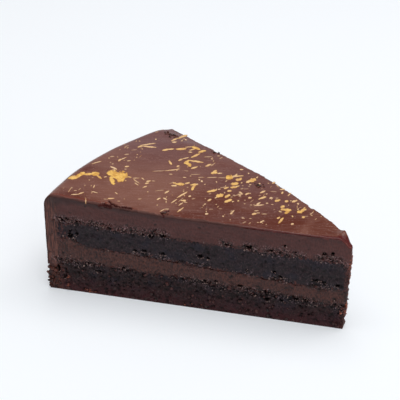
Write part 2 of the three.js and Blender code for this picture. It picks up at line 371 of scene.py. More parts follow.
TEARS = (
    Tear(UPPER_TOP, 1.6, 0.7, ((110, 12, 1.0), (95, 15, 0.95), (84, 12, 0.9), (74, 9, 1.0), (47, 5, 0.8),
                               (38, 6, 0.9), (25.5, 16, 1.0), (9, 8, 1.0), (3, 3, 0.8)), 8.5, 0.3, 301),
    Tear(FILLING_TOP, 1.1, 0.9, ((109, 4, 0.9), (80, 9, 0.6), (72, 8, 0.5), (57.5, 9, 0.6), (38, 6, 0.5),
                                 (26, 9, 0.85), (10, 10, 0.9)), 11.0, 0.1, 331),
    Tear(LOWER_TOP, 1.6, -0.6, ((112, 11, 1.0), (101, 9, 0.8), (88, 6, 0.7), (62, 12, 0.6), (52, 12, 1.0),
                                (41, 5, 0.8), (33, 16, 0.9), (17, 12, 0.9), (4, 5, 0.8)), 9.0, 0.4, 361),
)


@dataclass(frozen=True)
class Hole:
    """A hollow where a crumb came out of the near cut: its place, size and depth."""

    s: float
    z: float
    length: float
    height: float
    depth: float = 1.3


# Each row holds s, z, length and height, and the depth where it isn't the usual one.
HOLES = tuple(Hole(*row) for row in (
    (76.8, 29.4, 2.4, 1.7, 1.5), (72.3, 30.3, 3.0, 1.5, 1.5), (80.0, 29.6, 1.4, 1.1),
    (46.9, 30.0, 2.2, 1.3), (38.3, 29.9, 2.8, 1.4, 1.5), (30.1, 29.9, 1.8, 1.3), (24.8, 32.6, 1.5, 1.2),
    (9.9, 31.4, 1.6, 1.6), (7.0, 31.7, 1.4, 1.5), (109.7, 25.4, 2.0, 4.2, 1.5), (107.0, 26.2, 1.2, 2.0),
    (113.0, 31.6, 1.4, 1.3), (110.6, 31.9, 1.3, 1.2), (106.9, 31.7, 1.4, 1.1), (83.0, 22.3, 1.6, 1.1),
    (79.5, 22.6, 2.6, 1.3), (72.0, 22.2, 3.0, 1.2), (57.3, 23.4, 2.6, 1.6, 1.5), (54.2, 23.0, 1.6, 1.2),
    (39.0, 19.8, 1.8, 1.0), (28.4, 20.9, 1.7, 1.3), (26.0, 18.9, 2.2, 1.3), (12.6, 19.6, 2.6, 1.7),
    (9.6, 19.0, 2.4, 1.6), (4.4, 18.6, 1.8, 1.4), (55.0, 12.6, 2.6, 1.7, 1.6), (51.0, 13.2, 2.0, 1.2),
    (41.3, 12.6, 2.8, 1.2, 1.5), (36.4, 9.6, 2.0, 1.5), (31.0, 8.3, 2.6, 1.8, 1.6), (25.4, 8.8, 1.8, 1.3),
    (20.0, 10.2, 2.0, 1.2), (16.6, 10.4, 1.6, 1.1), (102.5, 13.5, 2.0, 1.0), (98.6, 10.6, 2.6, 1.2),
    (88.0, 13.6, 1.8, 1.0), (115.4, 9.6, 1.6, 3.4, 1.5), (113.0, 6.2, 1.0, 2.6, 1.4),
))


class Face(Enum):
    """A cut face of the slice."""

    NEAR_CUT = "near cut"
    FAR_CUT = "far cut"
    TIP = "tip"


@dataclass(frozen=True)
class CutRelief:
    """Relief of the cut faces, the same for every layer so that it runs across the seams.

    The cuts and the tip are unrolled into one strip: run is s on the near cut, carries on around
    the tip below zero, and goes back along the far cut.
    """

    tip_width: float = 2.0
    pit_size: tuple[float, float] = (1.5, 1.05)
    pit_depth: float = 1.0
    pit_share: float = 0.6
    lump: float = 0.5
    lump_size: tuple[float, float] = (0.9, 0.75)
    swell_size: tuple[float, float] = (3.4, 2.3)
    knob_size: tuple[float, float] = (1.5, 1.1)
    hole_rough: float = 0.6

    def run(self, face: Face, s: Array, v: Array) -> Array:
        """Gives the place along the unrolled strip.

        Args:
            face: The face that the place is on.
            s, v: The place on the plan.

        Returns:
            The place, s on the near cut and below zero on the tip and on the far cut.
        """
        if face is Face.NEAR_CUT:
            return s
        if face is Face.TIP:
            return -self.tip_width * v
        return -self.tip_width - s

    def run_on_cut(self, s: Array, v: Array) -> Array:
        """Gives the place along the unrolled strip on whichever cut is the nearer one."""
        return np.where(v < 0.5, self.run(Face.NEAR_CUT, s, v), self.run(Face.FAR_CUT, s, v))

    def torn(self, run: Array, s: Array, v: Array, z: Array) -> tuple[Array, Array]:
        """Gives how torn the cut is.

        Args:
            run: Place along the unrolled strip.
            s, v, z: The place in the slice.

        Returns:
            The torn bands from 0 to 1, and the pits in them from 0 to 1.
        """
        bands = np.zeros(run.shape)
        pits = np.zeros(run.shape)
        for tear in TEARS:
            offset = z - FORM.seam_height(tear.seam, s, v) - tear.shift
            band = tear.patch(run) * np.exp(-((offset / tear.spread) ** 2))
            holes = pores(run / self.pit_size[0], z / self.pit_size[1], tear.seed, self.pit_share)
            bands = np.maximum(bands, band)
            pits = np.maximum(pits, np.minimum(1.0, 1.5 * band) * holes)
        return bands, pits

    def holes(self, run: Array, z: Array) -> Array:
        """Gives the depth of the named holes in the near cut.

        Args:
            run: Place along the unrolled strip.
            z: Height.

        Returns:
            Depths in millimetres.
        """
        depth = np.zeros(run.shape)
        for k, hole in enumerate(HOLES):
            close = (np.abs(run - hole.s) < hole.length) & (np.abs(z - hole.z) < hole.height)
            along, up = run[close] - hole.s, z[close] - hole.z
            rough = self.hole_rough * grain(along / 0.6 + 9 * k, up / 0.5, 17)
            away = 1.1 * np.hypot(2 * along / hole.length, 2 * up / hole.height) + rough
            depth[close] = np.maximum(depth[close], hole.depth * ease(1 - away, -0.1, 0.45))
        return depth

    def height(self, texture: Texture, run: Array, s: Array, v: Array,
               z: Array) -> tuple[Array, Array, Array]:
        """Gives the relief of a cut, outwards from its flat face.

        Args:
            texture: How the food breaks up.
            run: Place along the unrolled strip.
            s, v, z: The place in the slice.

        Returns:
            The height in millimetres, the pits from 0 to 1 and the torn bands from 0 to 1.
        """
        bands, pits = self.torn(run, s, v, z)
        swell = unevenness(run / self.swell_size[0], z / self.swell_size[1], 13)
        broad = 0.65 * swell + 0.35 * unevenness(run / self.knob_size[0], z / self.knob_size[1], 63)
        fine = grain(run / texture.fine_size[0], z / texture.fine_size[1], 91)
        hollows = pores(run / texture.pore_size, z / (0.75 * texture.pore_size), 151, texture.pore_share)
        lumps = self.lump * bands * grain(run / self.lump_size[0], z / self.lump_size[1], 211)
        height = texture.broad * (broad - 0.1) + texture.fine * fine - texture.pore_depth * hollows
        holes = self.holes(run, z)
        height = height + lumps - np.maximum(self.pit_depth * pits, holes)
        return height, np.maximum(np.maximum(pits, 0.8 * hollows), holes), bands


RELIEF = CutRelief()


def as_mesh(shape: bmesh.types.BMesh, name: str) -> bpy.types.Mesh:
    """Turns a finished bmesh into a mesh.

    Args:
        shape: The bmesh, which is freed.
        name: Name of the mesh.

    Returns:
        The mesh.
    """
    mesh = bpy.data.meshes.new(name)
    shape.to_mesh(mesh)
    shape.free()
    return mesh


def block(columns: int, stations: int, rows: int) -> bpy.types.Mesh:
    """Makes a closed block of fine cells, ready to be moulded.

    Its x runs along the slice, its y up and its z across, each from 0 to 1.

    Args:
        columns: Cells along x.
        stations: Cells along z.
        rows: Cells along y.

    Returns:
        The mesh.
    """
    shape = bmesh.new()
    bmesh.ops.create_grid(shape, x_segments=columns, y_segments=rows, size=0.5)
    sheet = shape.faces[:]
    rim = [edge for edge in shape.edges if edge.is_boundary]
    for _ in range(stations):
        wall = bmesh.ops.extrude_edge_only(shape, edges=rim)["geom"]
        rim = [part for part in wall if isinstance(part, bmesh.types.BMEdge)]
        corners = [part for part in wall if isinstance(part, bmesh.types.BMVert)]
        bmesh.ops.translate(shape, verts=corners, vec=(0, 0, 1 / stations))
    lid = bmesh.ops.duplicate(shape, geom=sheet)["geom"]
    lid_corners = [part for part in lid if isinstance(part, bmesh.types.BMVert)]
    bmesh.ops.translate(shape, verts=lid_corners, vec=(0, 0, 1))
    bmesh.ops.translate(shape, verts=shape.verts, vec=(0.5, 0.5, 0))
    bmesh.ops.remove_doubles(shape, verts=shape.verts, dist=0.2 / max(columns, stations, rows))
    bmesh.ops.recalc_face_normals(shape, faces=shape.faces)
    return as_mesh(shape, "block")


def corners_of(mesh: bpy.types.Mesh) -> Array:
    """Reads a mesh's points as one row of x, y and z for each."""
    flat = np.empty(len(mesh.vertices) * 3, np.float32)
    mesh.vertices.foreach_get("co", flat)
    return flat.reshape(-1, 3).astype(float)


def move_corners(mesh: bpy.types.Mesh, points: Array) -> None:
    """Moves a mesh's points to the given rows of x, y and z."""
    mesh.vertices.foreach_set("co", points.astype(np.float32).ravel())
    mesh.update()


def mark(mesh: bpy.types.Mesh, name: str, values: Array) -> None:
    """Stores a number from 0 to 1 at each point of a mesh, for its material to read by name."""
    attribute = mesh.attributes.new(name, "FLOAT", "POINT")
    attribute.data.foreach_set("value", np.clip(values, 0, 1).astype(np.float32))


def piece(name: str, mesh: bpy.types.Mesh, material: bpy.types.Material,
          sharp: float = 60.0) -> bpy.types.Object:
    """Puts a finished mesh into the scene.

    Args:
        name: Name of the piece.
        mesh: Its mesh, already in place.
        material: Its finish.
        sharp: Edges that turn by more than this many degrees stay sharp.

    Returns:
        The object, which rides on the slice.
    """
    mesh.name = name
    mesh.materials.clear()
    mesh.materials.append(material)
    mesh.shade_smooth()
    mesh.set_sharp_from_angle(angle=math.radians(sharp))
    made = bpy.data.objects.new(name, mesh)
    bpy.context.scene.collection.objects.link(made)
    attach(made, "root")
    LOG.info("%s: %d points, %d faces", name, len(mesh.vertices), len(mesh.polygons))
    return made


def crowded(t: Array) -> Array:
    """Moves evenly spaced numbers from 0 to 1 closer together at both ends."""
    return 0.5 - 0.5 * np.cos(math.pi * t)


def linear(hex_colour: str) -> tuple[float, float, float, float]:
    """Turns an sRGB hex colour into linear red, green, blue and alpha.

    Args:
        hex_colour: Six hex digits after a hash sign.

    Returns:
        The linear colour.
    """
    channels = [int(hex_colour[k : k + 2], 16) / 255 for k in (1, 3, 5)]
    curve = [c / 12.92 if c <= 0.04045 else ((c + 0.055) / 1.055) ** 2.4 for c in channels]
    return (*curve, 1.0)


def per_metre(size_mm: float) -> float:
    """Gives the scale of a pattern whose features are size_mm across."""
    return 1 / (size_mm * MM)


def add(tree: bpy.types.NodeTree, kind: str, settings: dict, out: int | str = 0) -> Socket | None:
    """Adds a node with its settings and links.

    Args:
        tree: The material's node tree.
        kind: The node's type, without the word that every shader node's type starts with.
        settings: What its properties and its inputs, given by name or number, are set to. A socket
            is linked, and a hex colour is turned to linear.
        out: Which of the node's outputs is wanted.

    Returns:
        That output, or nothing where the node has none.
    """
    node = tree.nodes.new("ShaderNode" + kind)
    for key in sorted(settings, key=lambda key: not hasattr(node, str(key))):
        value = settings[key]
        if hasattr(node, str(key)):
            setattr(node, key, value)
        elif isinstance(value, Socket):
            tree.links.new(value, node.inputs[key])
        else:
            node.inputs[key].default_value = linear(value) if isinstance(value, str) else value
    return node.outputs[out] if node.outputs else None


# Soft noise, a mix of two colours, and the output of that mix.
NOISE = {"Detail": 2.0, "Roughness": 0.6}
COLOURS = {"data_type": "RGBA"}
MIXED = 2


def laid_over(tree: bpy.types.NodeTree, colour: Socket | str, over: Socket | str, pattern: Socket | str,
              span: tuple[float, float] = (0.0, 1.0), share: float = 1.0) -> Socket:
    """Lays one more colour over a finish where a pattern goes through a span of its values.

    Args:
        tree: The material's node tree.
        colour: The colour below.
        over: The colour on top.
        pattern: The pattern, or the name of the mark that is read instead.
        span: The values where the colour on top starts and where it is full.
        share: How much of the colour on top there is where it is full.

    Returns:
        The mixed colour.
    """
    if isinstance(pattern, str):
        pattern = add(tree, "Attribute", {"attribute_name": pattern}, "Fac")
    start, full = span
    part = add(tree, "MapRange", {"Value": pattern, "From Min": start, "From Max": full, "To Max": share})
    return add(tree, "Mix", {**COLOURS, 0: part, 6: colour, 7: over}, MIXED)


def torn_bands(tree: bpy.types.NodeTree, place: Socket, colour: Socket, hollow: str, shard: str,
               size_mm: float) -> Socket:
    """Breaks a colour up where the knife tore the cut, into small pits of painted shade and pale shards of
    painted glint.

    Args:
        tree: The material's node tree.
        place: Places on the piece.
        colour: The colour of the clean cut.
        hollow: The painted shade in the pits.
        shard: The colour of the shards, a painted glint.
        size_mm: The size of pits and shards.

    Returns:
        The broken colour.
    """
    torn = add(tree, "Attribute", {"attribute_name": "torn"}, "Fac")
    torn = add(tree, "MapRange", {"Value": torn, "From Max": 0.4})
    broken = add(tree, "TexNoise", {**NOISE, "Vector": place, "Scale": per_metre(size_mm), "Detail": 3.0})
    # Painted shade in the pits, then painted glints on pale shards.
    for over, start, full, share in ((hollow, 0.49, 0.39, 0.95), (shard, 0.56, 0.67, 0.8)):
        part = add(tree, "MapRange", {"Value": broken, "From Min": start, "From Max": full, "To Max": share})
        part = add(tree, "Math", {"operation": "MULTIPLY", 0: torn, 1: part})
        colour = add(tree, "Mix", {**COLOURS, 0: part, 6: colour, 7: over}, MIXED)
    return colour


@dataclass(frozen=True)
class Finish:
    """A finish. Each kind of finish says how its shader is set."""

    name: str

    def look(self, tree: bpy.types.NodeTree) -> dict:
        """Gives what the shader's inputs are set to or linked to."""
        raise NotImplementedError

    def build(self) -> bpy.types.Material:
        """Builds the material.

        Returns:
            The material, with one shader that is set by look.
        """
        material = bpy.data.materials.new(self.name)
        material.use_nodes = True
        tree = material.node_tree
        tree.nodes.clear()
        shader = add(tree, "BsdfPrincipled", self.look(tree))
        add(tree, "OutputMaterial", {"Surface": shader})
        return material


@dataclass(frozen=True)
class SpongeFinish(Finish):
    """Moist baked chocolate sponge: nearly black, with a soft damp shine on a matt open crumb."""

    dark: str
    light: str
    base_tint: str
    tint_height: float
    # Painted cool sheen, in broad patches.
    painted_cool_sheen: str = "#1b1622"
    # Painted glints in fine specks, and how strong they are.
    painted_glint: str = "#6a5252"
    painted_glint_share: float = 0.35
    # Painted glints on the shards in torn bands.
    torn_painted_glint: str = "#8d767c"
    smear: str = "#512b26"
    # Painted shade in pores and pits.
    hollow: str = "#080405"
    roughness: float = 0.5
    crumb_mm: float = 0.8
    speck_mm: float = 0.5
    torn_mm: float = 0.65
    tint_mm: float = 3.0
    patch_mm: float = 6.0
    bump_mm: float = 0.25

    def look(self, tree: bpy.types.NodeTree) -> dict:
        """Gives a dark and light crumb with painted glints and painted cool sheen, painted shade in its pores
        and pits, redder near the base, torn and smeared by marks.

        Args:
            tree: The material's node tree.

        Returns:
            The shader's settings and links.
        """
        place = add(tree, "TexCoord", {}, "Object")
        upright = add(tree, "Mapping", {"Vector": place, "Scale": (1.0, 1.0, 0.6)})
        crumb, speck, patch, tint = (
            add(tree, "TexNoise", {**NOISE, "Vector": way, "Scale": per_metre(size_mm), "Detail": detail})
            for way, size_mm, detail in ((place, self.crumb_mm, 5.0), (upright, self.speck_mm, 1.0),
                                         (place, self.patch_mm, 2.0), (place, self.tint_mm, 2.0))
        )
        colour = laid_over(tree, self.dark, self.light, crumb, (0.36, 0.66))
        # Painted cool sheen in broad patches.
        colour = laid_over(tree, colour, self.painted_cool_sheen, patch, (0.5, 0.66), 0.7)
        height = add(tree, "SeparateXYZ", {0: place}, "Z")
        tinted = {"From Min": self.tint_height * MM, "From Max": 0.0, "To Max": 1.7}
        low = add(tree, "MapRange", {**tinted, "Value": height})
        redder = add(tree, "Math", {"operation": "MULTIPLY", "use_clamp": True, 0: low, 1: tint})
        colour = add(tree, "Mix", {**COLOURS, 0: redder, 6: colour, 7: self.base_tint}, MIXED)
        # Painted glints in fine specks.
        colour = laid_over(tree, colour, self.painted_glint, speck, (0.6, 0.78), self.painted_glint_share)
        # Painted shade in the darkest fine specks.
        colour = laid_over(tree, colour, self.hollow, speck, (0.44, 0.3), 0.75)
        # Torn bands: painted shade in small pits and painted glints on pale shards.
        colour = torn_bands(tree, place, colour, self.hollow, self.torn_painted_glint, self.torn_mm)
        fuzz = add(tree, "MapRange", {"Value": speck, "From Min": 0.3, "From Max": 0.7})
        smear = add(tree, "Attribute", {"attribute_name": "smear"}, "Fac")
        dragged = add(tree, "Math", {"operation": "MULTIPLY", 0: smear, 1: fuzz})
        colour = laid_over(tree, colour, self.smear, dragged, (0.05, 0.6))
        # Painted shade in the pits of the relief.
        colour = laid_over(tree, colour, self.hollow, "pit", (0.08, 0.7), 0.9)
        bump = add(tree, "Bump", {"Strength": 0.5, "Distance": self.bump_mm * MM, "Height": crumb})
        return {"Base Color": colour, "Normal": bump, "Roughness": self.roughness, "Specular IOR Level": 0.22}


@dataclass(frozen=True)
class GanacheFinish(Finish):
    """Set chocolate ganache, cut with a warm knife: satin, with drag lines and a fine fuzz of crumbs."""

    dark: str
    light: str
    grain_share: float
    crumb: str = "#22110f"
    # Painted shade in pits.
    hollow: str = "#0a0504"
    foot_dark: str = "#1f0d0c"
    foot_light: str = "#5f2b1c"
    # Painted shade just below the glaze's edge.
    shade_under_glaze: str = "#2f1c1b"
    # Painted glints on the shards in torn bands.
    torn_painted_glint: str = "#96797c"
    streak_dark: str = "#2c1513"
    streak_light: str = "#744539"
    roughness: float = 0.5
    torn_roughness: float = 0.26
    cloud_mm: float = 7.0
    fuzz_mm: float = 0.55
    drag_mm: float = 0.5
    streak_mm: float = 0.4
    torn_mm: float = 0.6
    bump_mm: float = 0.14

    def look(self, tree: bpy.types.NodeTree) -> dict:
        """Gives clouds, drag lines and fuzz, upright streaks on the outer side and a baked foot, with painted
        shade under the glaze and in pits, and painted glints in torn bands.

        Args:
            tree: The material's node tree.

        Returns:
            The shader's settings and links.
        """
        place = add(tree, "TexCoord", {}, "Object")
        drawn = add(tree, "Mapping", {"Vector": place, "Scale": (0.16, 0.16, 1.0)})
        upright = add(tree, "Mapping", {"Vector": place, "Scale": (1.0, 1.0, 0.5)})
        hanging = add(tree, "Mapping", {"Vector": place, "Scale": (1.0, 1.0, 0.09)})
        cloud, fuzz, drag, streak = (
            add(tree, "TexNoise", {**NOISE, "Vector": way, "Scale": per_metre(size_mm), "Detail": detail})
            for way, size_mm, detail in ((place, self.cloud_mm, 4.0), (upright, self.fuzz_mm, 2.0),
                                         (drawn, self.drag_mm, 3.0), (hanging, self.streak_mm, 2.0))
        )
        even = add(tree, "Mix", {0: 0.35, 2: cloud, 3: drag})
        both = add(tree, "Mix", {0: self.grain_share, 2: even, 3: fuzz})
        colour = laid_over(tree, self.dark, self.light, both, (0.36, 0.64))
        streaked = laid_over(tree, self.streak_dark, self.streak_light, streak, (0.38, 0.64))
        colour = laid_over(tree, colour, streaked, "side", share=0.85)
        # Painted shade under the glaze's edge, by the under mark.
        colour = laid_over(tree, colour, self.shade_under_glaze, "under")
        colour = laid_over(tree, colour, self.crumb, "smear", (0.35, 1.0), 0.85)
        # Torn bands: painted shade in small pits and painted glints on pale shards.
        colour = torn_bands(tree, place, colour, self.hollow, self.torn_painted_glint, self.torn_mm)
        baked = laid_over(tree, self.foot_dark, self.foot_light, fuzz, (0.38, 0.66))
        colour = laid_over(tree, colour, baked, "foot")
        # Painted shade in the pits of the relief.
        colour = laid_over(tree, colour, self.hollow, "pit", (0.08, 0.7), 0.94)
        torn = add(tree, "Attribute", {"attribute_name": "torn"}, "Fac")
        damp = {"To Min": self.roughness, "To Max": self.torn_roughness}
        gloss = add(tree, "MapRange", {**damp, "Value": torn})
        bump = add(tree, "Bump", {"Strength": 0.4, "Distance": self.bump_mm * MM, "Height": both})
        return {"Base Color": colour, "Normal": bump, "Roughness": gloss, "Specular IOR Level": 0.3}


@dataclass(frozen=True)
class GlazeFinish(Finish):
    """Poured mirror glaze: wet-looking gloss over deep red-brown, with softer dull patches painted lighter
    and mauve as a stand-in for reflections, and painted shade in its slits.
    """

    name: str = "poured_chocolate_glaze"
    deep: str = "#5a2009"
    # Colour of the dull patches, painted lighter as a stand-in for reflections.
    hazy_and_painted_sheen: str = "#7b4c3c"
    # Painted cool sheen over the far half of the top.
    mauve: str = "#694240"
    speck: str = "#9c766c"
    lip: str = "#6f2c18"
    cut: str = "#520b05"
    merged: str = "#42241f"
    # Painted shade deep inside the slits.
    gap: str = "#330402"
    drag_turn: float = math.radians(33)
    drag_mm: float = 0.55
    speck_mm: float = 0.75
    cloud_mm: float = 5.0
    ripple_mm: float = 2.6
    bump_mm: float = 0.2
    wet_roughness: float = 0.2
    dull_roughness: float = 0.34
    edge_roughness: float = 0.85
    gap_roughness: float = 1.0

    def look(self, tree: bpy.types.NodeTree) -> dict:
        """Gives a gloss that dulls in the dull patches, their colour painted lighter and mauve as a stand-in
        for reflections, with drag lines, dust, painted shade in the slits, and the colours of its edges.

        Args:
            tree: The material's node tree.

        Returns:
            The shader's settings and links.
        """
        place = add(tree, "TexCoord", {}, "Object")
        turned = add(tree, "Mapping", {"Vector": place, "Rotation": (0.0, 0.0, -self.drag_turn)})
        drawn = add(tree, "Mapping", {"Vector": turned, "Scale": (0.09, 1.0, 1.0)})
        drag, cloud, speck, ripple = (
            add(tree, "TexNoise", {**NOISE, "Vector": way, "Scale": per_metre(size_mm), "Detail": detail})
            for way, size_mm, detail in ((drawn, self.drag_mm, 2.0), (place, self.cloud_mm, 4.0),
                                         (place, self.speck_mm, 1.0), (place, self.ripple_mm, 2.0))
        )
        haze_and_sheen_mark = add(tree, "Attribute", {"attribute_name": "haze_and_sheen"}, "Fac")
        uneven = add(tree, "Mix", {0: 0.45, 2: cloud, 3: drag})
        broken = add(tree, "Mix", {0: 0.3, 2: haze_and_sheen_mark, 3: uneven})
        # Dull patches painted lighter, then the painted cool sheen.
        colour = laid_over(tree, self.deep, self.hazy_and_painted_sheen, broken, (0.15, 0.85))
        colour = laid_over(tree, colour, self.mauve, "painted_cool_sheen")
        colour = laid_over(tree, colour, self.speck, drag, (0.5, 0.68), 0.2)
        colour = laid_over(tree, colour, self.speck, speck, (0.6, 0.74), 0.4)
        edges = {"lip": self.lip, "merged": self.merged, "edge": self.cut, "gap": self.gap}
        for mark_name, over in edges.items():
            colour = laid_over(tree, colour, over, mark_name)
        dulled = {"To Min": self.wet_roughness, "To Max": self.dull_roughness}
        gloss = add(tree, "MapRange", {**dulled, "Value": broken, "From Min": 0.1, "From Max": 0.9})
        for mark_name, rough in (("merged", self.edge_roughness), ("gap", self.gap_roughness)):
            marked = add(tree, "Attribute", {"attribute_name": mark_name}, "Fac")
            gloss = add(tree, "Mix", {0: marked, 2: gloss, 3: rough})
        waves = add(tree, "Mix", {0: 0.5, 2: ripple, 3: drag})
        bump = add(tree, "Bump", {"Strength": 0.15, "Distance": self.bump_mm * MM, "Height": waves})
        return {"Base Color": colour, "Normal": bump, "Roughness": gloss, "IOR": 1.42}


@dataclass(frozen=True)
class GoldFinish(Finish):
    """Edible gold paint, flicked on with a brush: bright mica flake in a thin binder.

    Where it is thick it is yellow, where it is thin it is creamy, and where it barely covers, the
    glaze shows through.
    """

    name: str = "edible_gold_paint"
    bright: str = "#fbc868"
    worn: str = "#dc9f40"
    cream: str = "#efc89c"
    veil: str = "#8f6a60"
    edge: str = "#a8713a"
    fleck_mm: float = 2.2
    bump_mm: float = 0.12

    def look(self, tree: bpy.types.NodeTree) -> dict:
        """Gives rubbed gold that goes over cream to a veil where it is thin, browner at its edge.

        Args:
            tree: The material's node tree.

        Returns:
            The shader's settings and links.
        """
        place = add(tree, "TexCoord", {}, "Object")
        fleck = add(tree, "TexNoise", {**NOISE, "Vector": place, "Scale": per_metre(self.fleck_mm)})
        colour = laid_over(tree, self.bright, self.worn, fleck, (0.42, 0.62))
        colour = laid_over(tree, colour, self.cream, "thin", (0.0, 0.5))
        colour = laid_over(tree, colour, self.veil, "thin", (0.5, 1.0))
        colour = laid_over(tree, colour, self.edge, "worn_edge")
        bump = add(tree, "Bump", {"Strength": 0.4, "Distance": self.bump_mm * MM, "Height": fleck})
        return {"Base Color": colour, "Normal": bump, "Metallic": 0.2, "Roughness": 0.36}


@dataclass(frozen=True)
class CrumbFinish(Finish):
    """Loose crumbs of sponge or of ganache, each a little lighter or darker than the next."""

    dark: str
    light: str
    roughness: float
    speck_mm: float = 1.0
    bump_mm: float = 0.15

    def look(self, tree: bpy.types.NodeTree) -> dict:
        """Gives each crumb its own tone, with soft specks over it.

        Args:
            tree: The material's node tree.

        Returns:
            The shader's settings and links.
        """
        place = add(tree, "TexCoord", {}, "Object")
        speck = add(tree, "TexNoise", {**NOISE, "Vector": place, "Scale": per_metre(self.speck_mm)})
        own = add(tree, "Attribute", {"attribute_name": "tone"}, "Fac")
        tone = add(tree, "Mix", {0: 0.4, 2: own, 3: speck})
        colour = laid_over(tree, self.dark, self.light, tone, (0.15, 0.75))
        bump = add(tree, "Bump", {"Strength": 0.5, "Distance": self.bump_mm * MM, "Height": speck})
        return {"Base Color": colour, "Normal": bump, "Roughness": self.roughness}


@dataclass(frozen=True)
class TableFinish(Finish):
    """Matt white table top that glows a little, so that the slice gives only a faint, wide shadow."""

    name: str = "matt_white_table"
    colour: str = "#d2d4d6"
    light: str = "#f2f7fd"
    glow: float = 0.31

    def look(self, tree: bpy.types.NodeTree) -> dict:
        """Gives one plain colour that glows a little."""
        plain = {"Base Color": self.colour, "Roughness": 0.9, "Specular IOR Level": 0.1}
        return {**plain, "Emission Color": self.light, "Emission Strength": self.glow}


@dataclass
class Layer:
    """One flat layer of the slice, from the tip to the inside of the coat.

    A layer reaches a little past its seams, under the ganache that covers them.
    """

    name: str
    lower: Seam
    upper: Seam
    texture: Texture
    finish: SpongeFinish | GanacheFinish
    rows: int
    columns: int = 440
    stations: int = 20
    under_lap: float = 0.45
    sunk: float = 0.35
    ragged: float = 0.0
    smear_reach: float = 0.9
    into_coat: float = 0.3
    lap: tuple[float, float] = (-0.15, 0.45)
    rim_reach: float = 0.2
    tip_smear: tuple[float, float] = (0.3, 2.4)
    tip_ragged: float = 0.6

    def build(self) -> bpy.types.Object:
        """Moulds and dresses the layer.

        Returns:
            The finished piece.
        """
        mesh = block(self.columns, self.stations, self.rows)
        u, w, t = corners_of(mesh).T
        v = crowded(t)
        rim_end = FORM.length - FORM.coat + self.into_coat
        along = u * rim_end
        floor = self.seam(self.lower, along, v, -1)
        roof = self.seam(self.upper, along, v, 1)
        z = floor + (roof - floor) * w
        tip = FORM.tip_start(z)
        s = tip + (rim_end - tip) * u
        textures = [(self.texture, np.ones(s.shape))]
        surface = moulded(textures, s, v, z, along, self.sunk * self.lapped(s, v, z))
        surface.marks["smear"] = self.smear(s, v, z)
        return surface.dress(self.name, mesh, self.finish, self.name)

    def seam(self, seam: Seam, s: Array, v: Array, side: int) -> Array:
        """Gives the height of one of the layer's own surfaces.

        Args:
            seam: The seam it follows.
            s, v: The place on the plan.
            side: 1 for the upper surface and -1 for the lower one.

        Returns:
            The heights.
        """
        height = FORM.seam_height(seam, s, v)
        if seam is BASE:
            return height
        return height + side * self.under_lap + self.ragged * ragged_edge(s, v, seam.seed)

    def lapped(self, s: Array, v: Array, z: Array) -> Array:
        """Gives 1 where the layer's face lies under the ganache next to it, and 0 elsewhere."""
        above = ease(z - FORM.seam_height(self.upper, s, v), *self.lap)
        if self.lower is BASE:
            return above
        return np.maximum(above, ease(FORM.seam_height(self.lower, s, v) - z, *self.lap))

    def smear(self, s: Array, v: Array, z: Array) -> Array:
        """Gives how thickly the knife dragged the food next door over the face.

        Args:
            s, v, z: The place in the slice.

        Returns:
            0 where the face is clean and 1 where it is covered.
        """
        distance = FORM.seam_height(self.upper, s, v) - z
        distance = np.minimum(distance, self.rim_reach * (FORM.length - FORM.coat - s))
        if self.lower is not BASE:
            distance = np.minimum(distance, z - FORM.seam_height(self.lower, s, v))
        from_tip = s - FORM.tip_start(z) + self.tip_ragged * grain(v * 6, z / 2, 49)
        at_tip = 1 - ease(from_tip, *self.tip_smear)
        return np.maximum(smeared(distance / self.smear_reach, s, v, z), at_tip)


def smeared(distance: Array, s: Array, v: Array, z: Array) -> Array:
    """Gives the smear from 0 to 1 at a share of its reach from a seam, in short upright streaks."""
    streaks = grain(RELIEF.run_on_cut(s, v) / 0.8, z / 2.0, 47)
    return np.clip(0.7 - distance + 1.3 * streaks, 0, 1)


def ragged_edge(s: Array, v: Array, seed: float) -> Array:
    """Gives the small ups and downs of a seam where crumbs were dragged over it.

    Args:
        s, v: The place on the plan.
        seed: The seam's own seed.

    Returns:
        Offsets of about half a millimetre at the cuts, and none deep inside the cake.
    """
    side = np.where(v < 0.5, 0.0, 40.0)
    near_cut = 1 - ease(np.minimum(v, 1 - v), 0.02, 0.1)
    return near_cut * (0.45 * unevenness(s / 2.3, side, seed + 400) + 0.5 * grain(s / 0.7, side, seed + 500))


@dataclass
class Surface:
    """The moulded points of a piece, in metres, and what its finish reads at each of them."""

    points: Array
    marks: dict[str, Array] = field(default_factory=dict)

    def dress(self, name: str, mesh: bpy.types.Mesh, finish: Finish, slot: str, node: str = "",
              sharp: float = 60.0) -> bpy.types.Object:
        """Moves the mesh to the moulded points and puts it into the scene.

        Args:
            name: Name of the piece.
            mesh: The block or sheet that was moulded.
            finish: The finish it gets.
            slot: The slot its finish stands for. Not used.
            node: The solid that it stands for, if its name isn't the same.
            sharp: Edges that turn by more than this many degrees stay sharp.

        Returns:
            The finished piece.
        """
        move_corners(mesh, self.points)
        for mark_name, values in self.marks.items():
            mark(mesh, mark_name, values)
        made = piece(name, mesh, finish.build(), sharp)
        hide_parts(node or name)
        return made


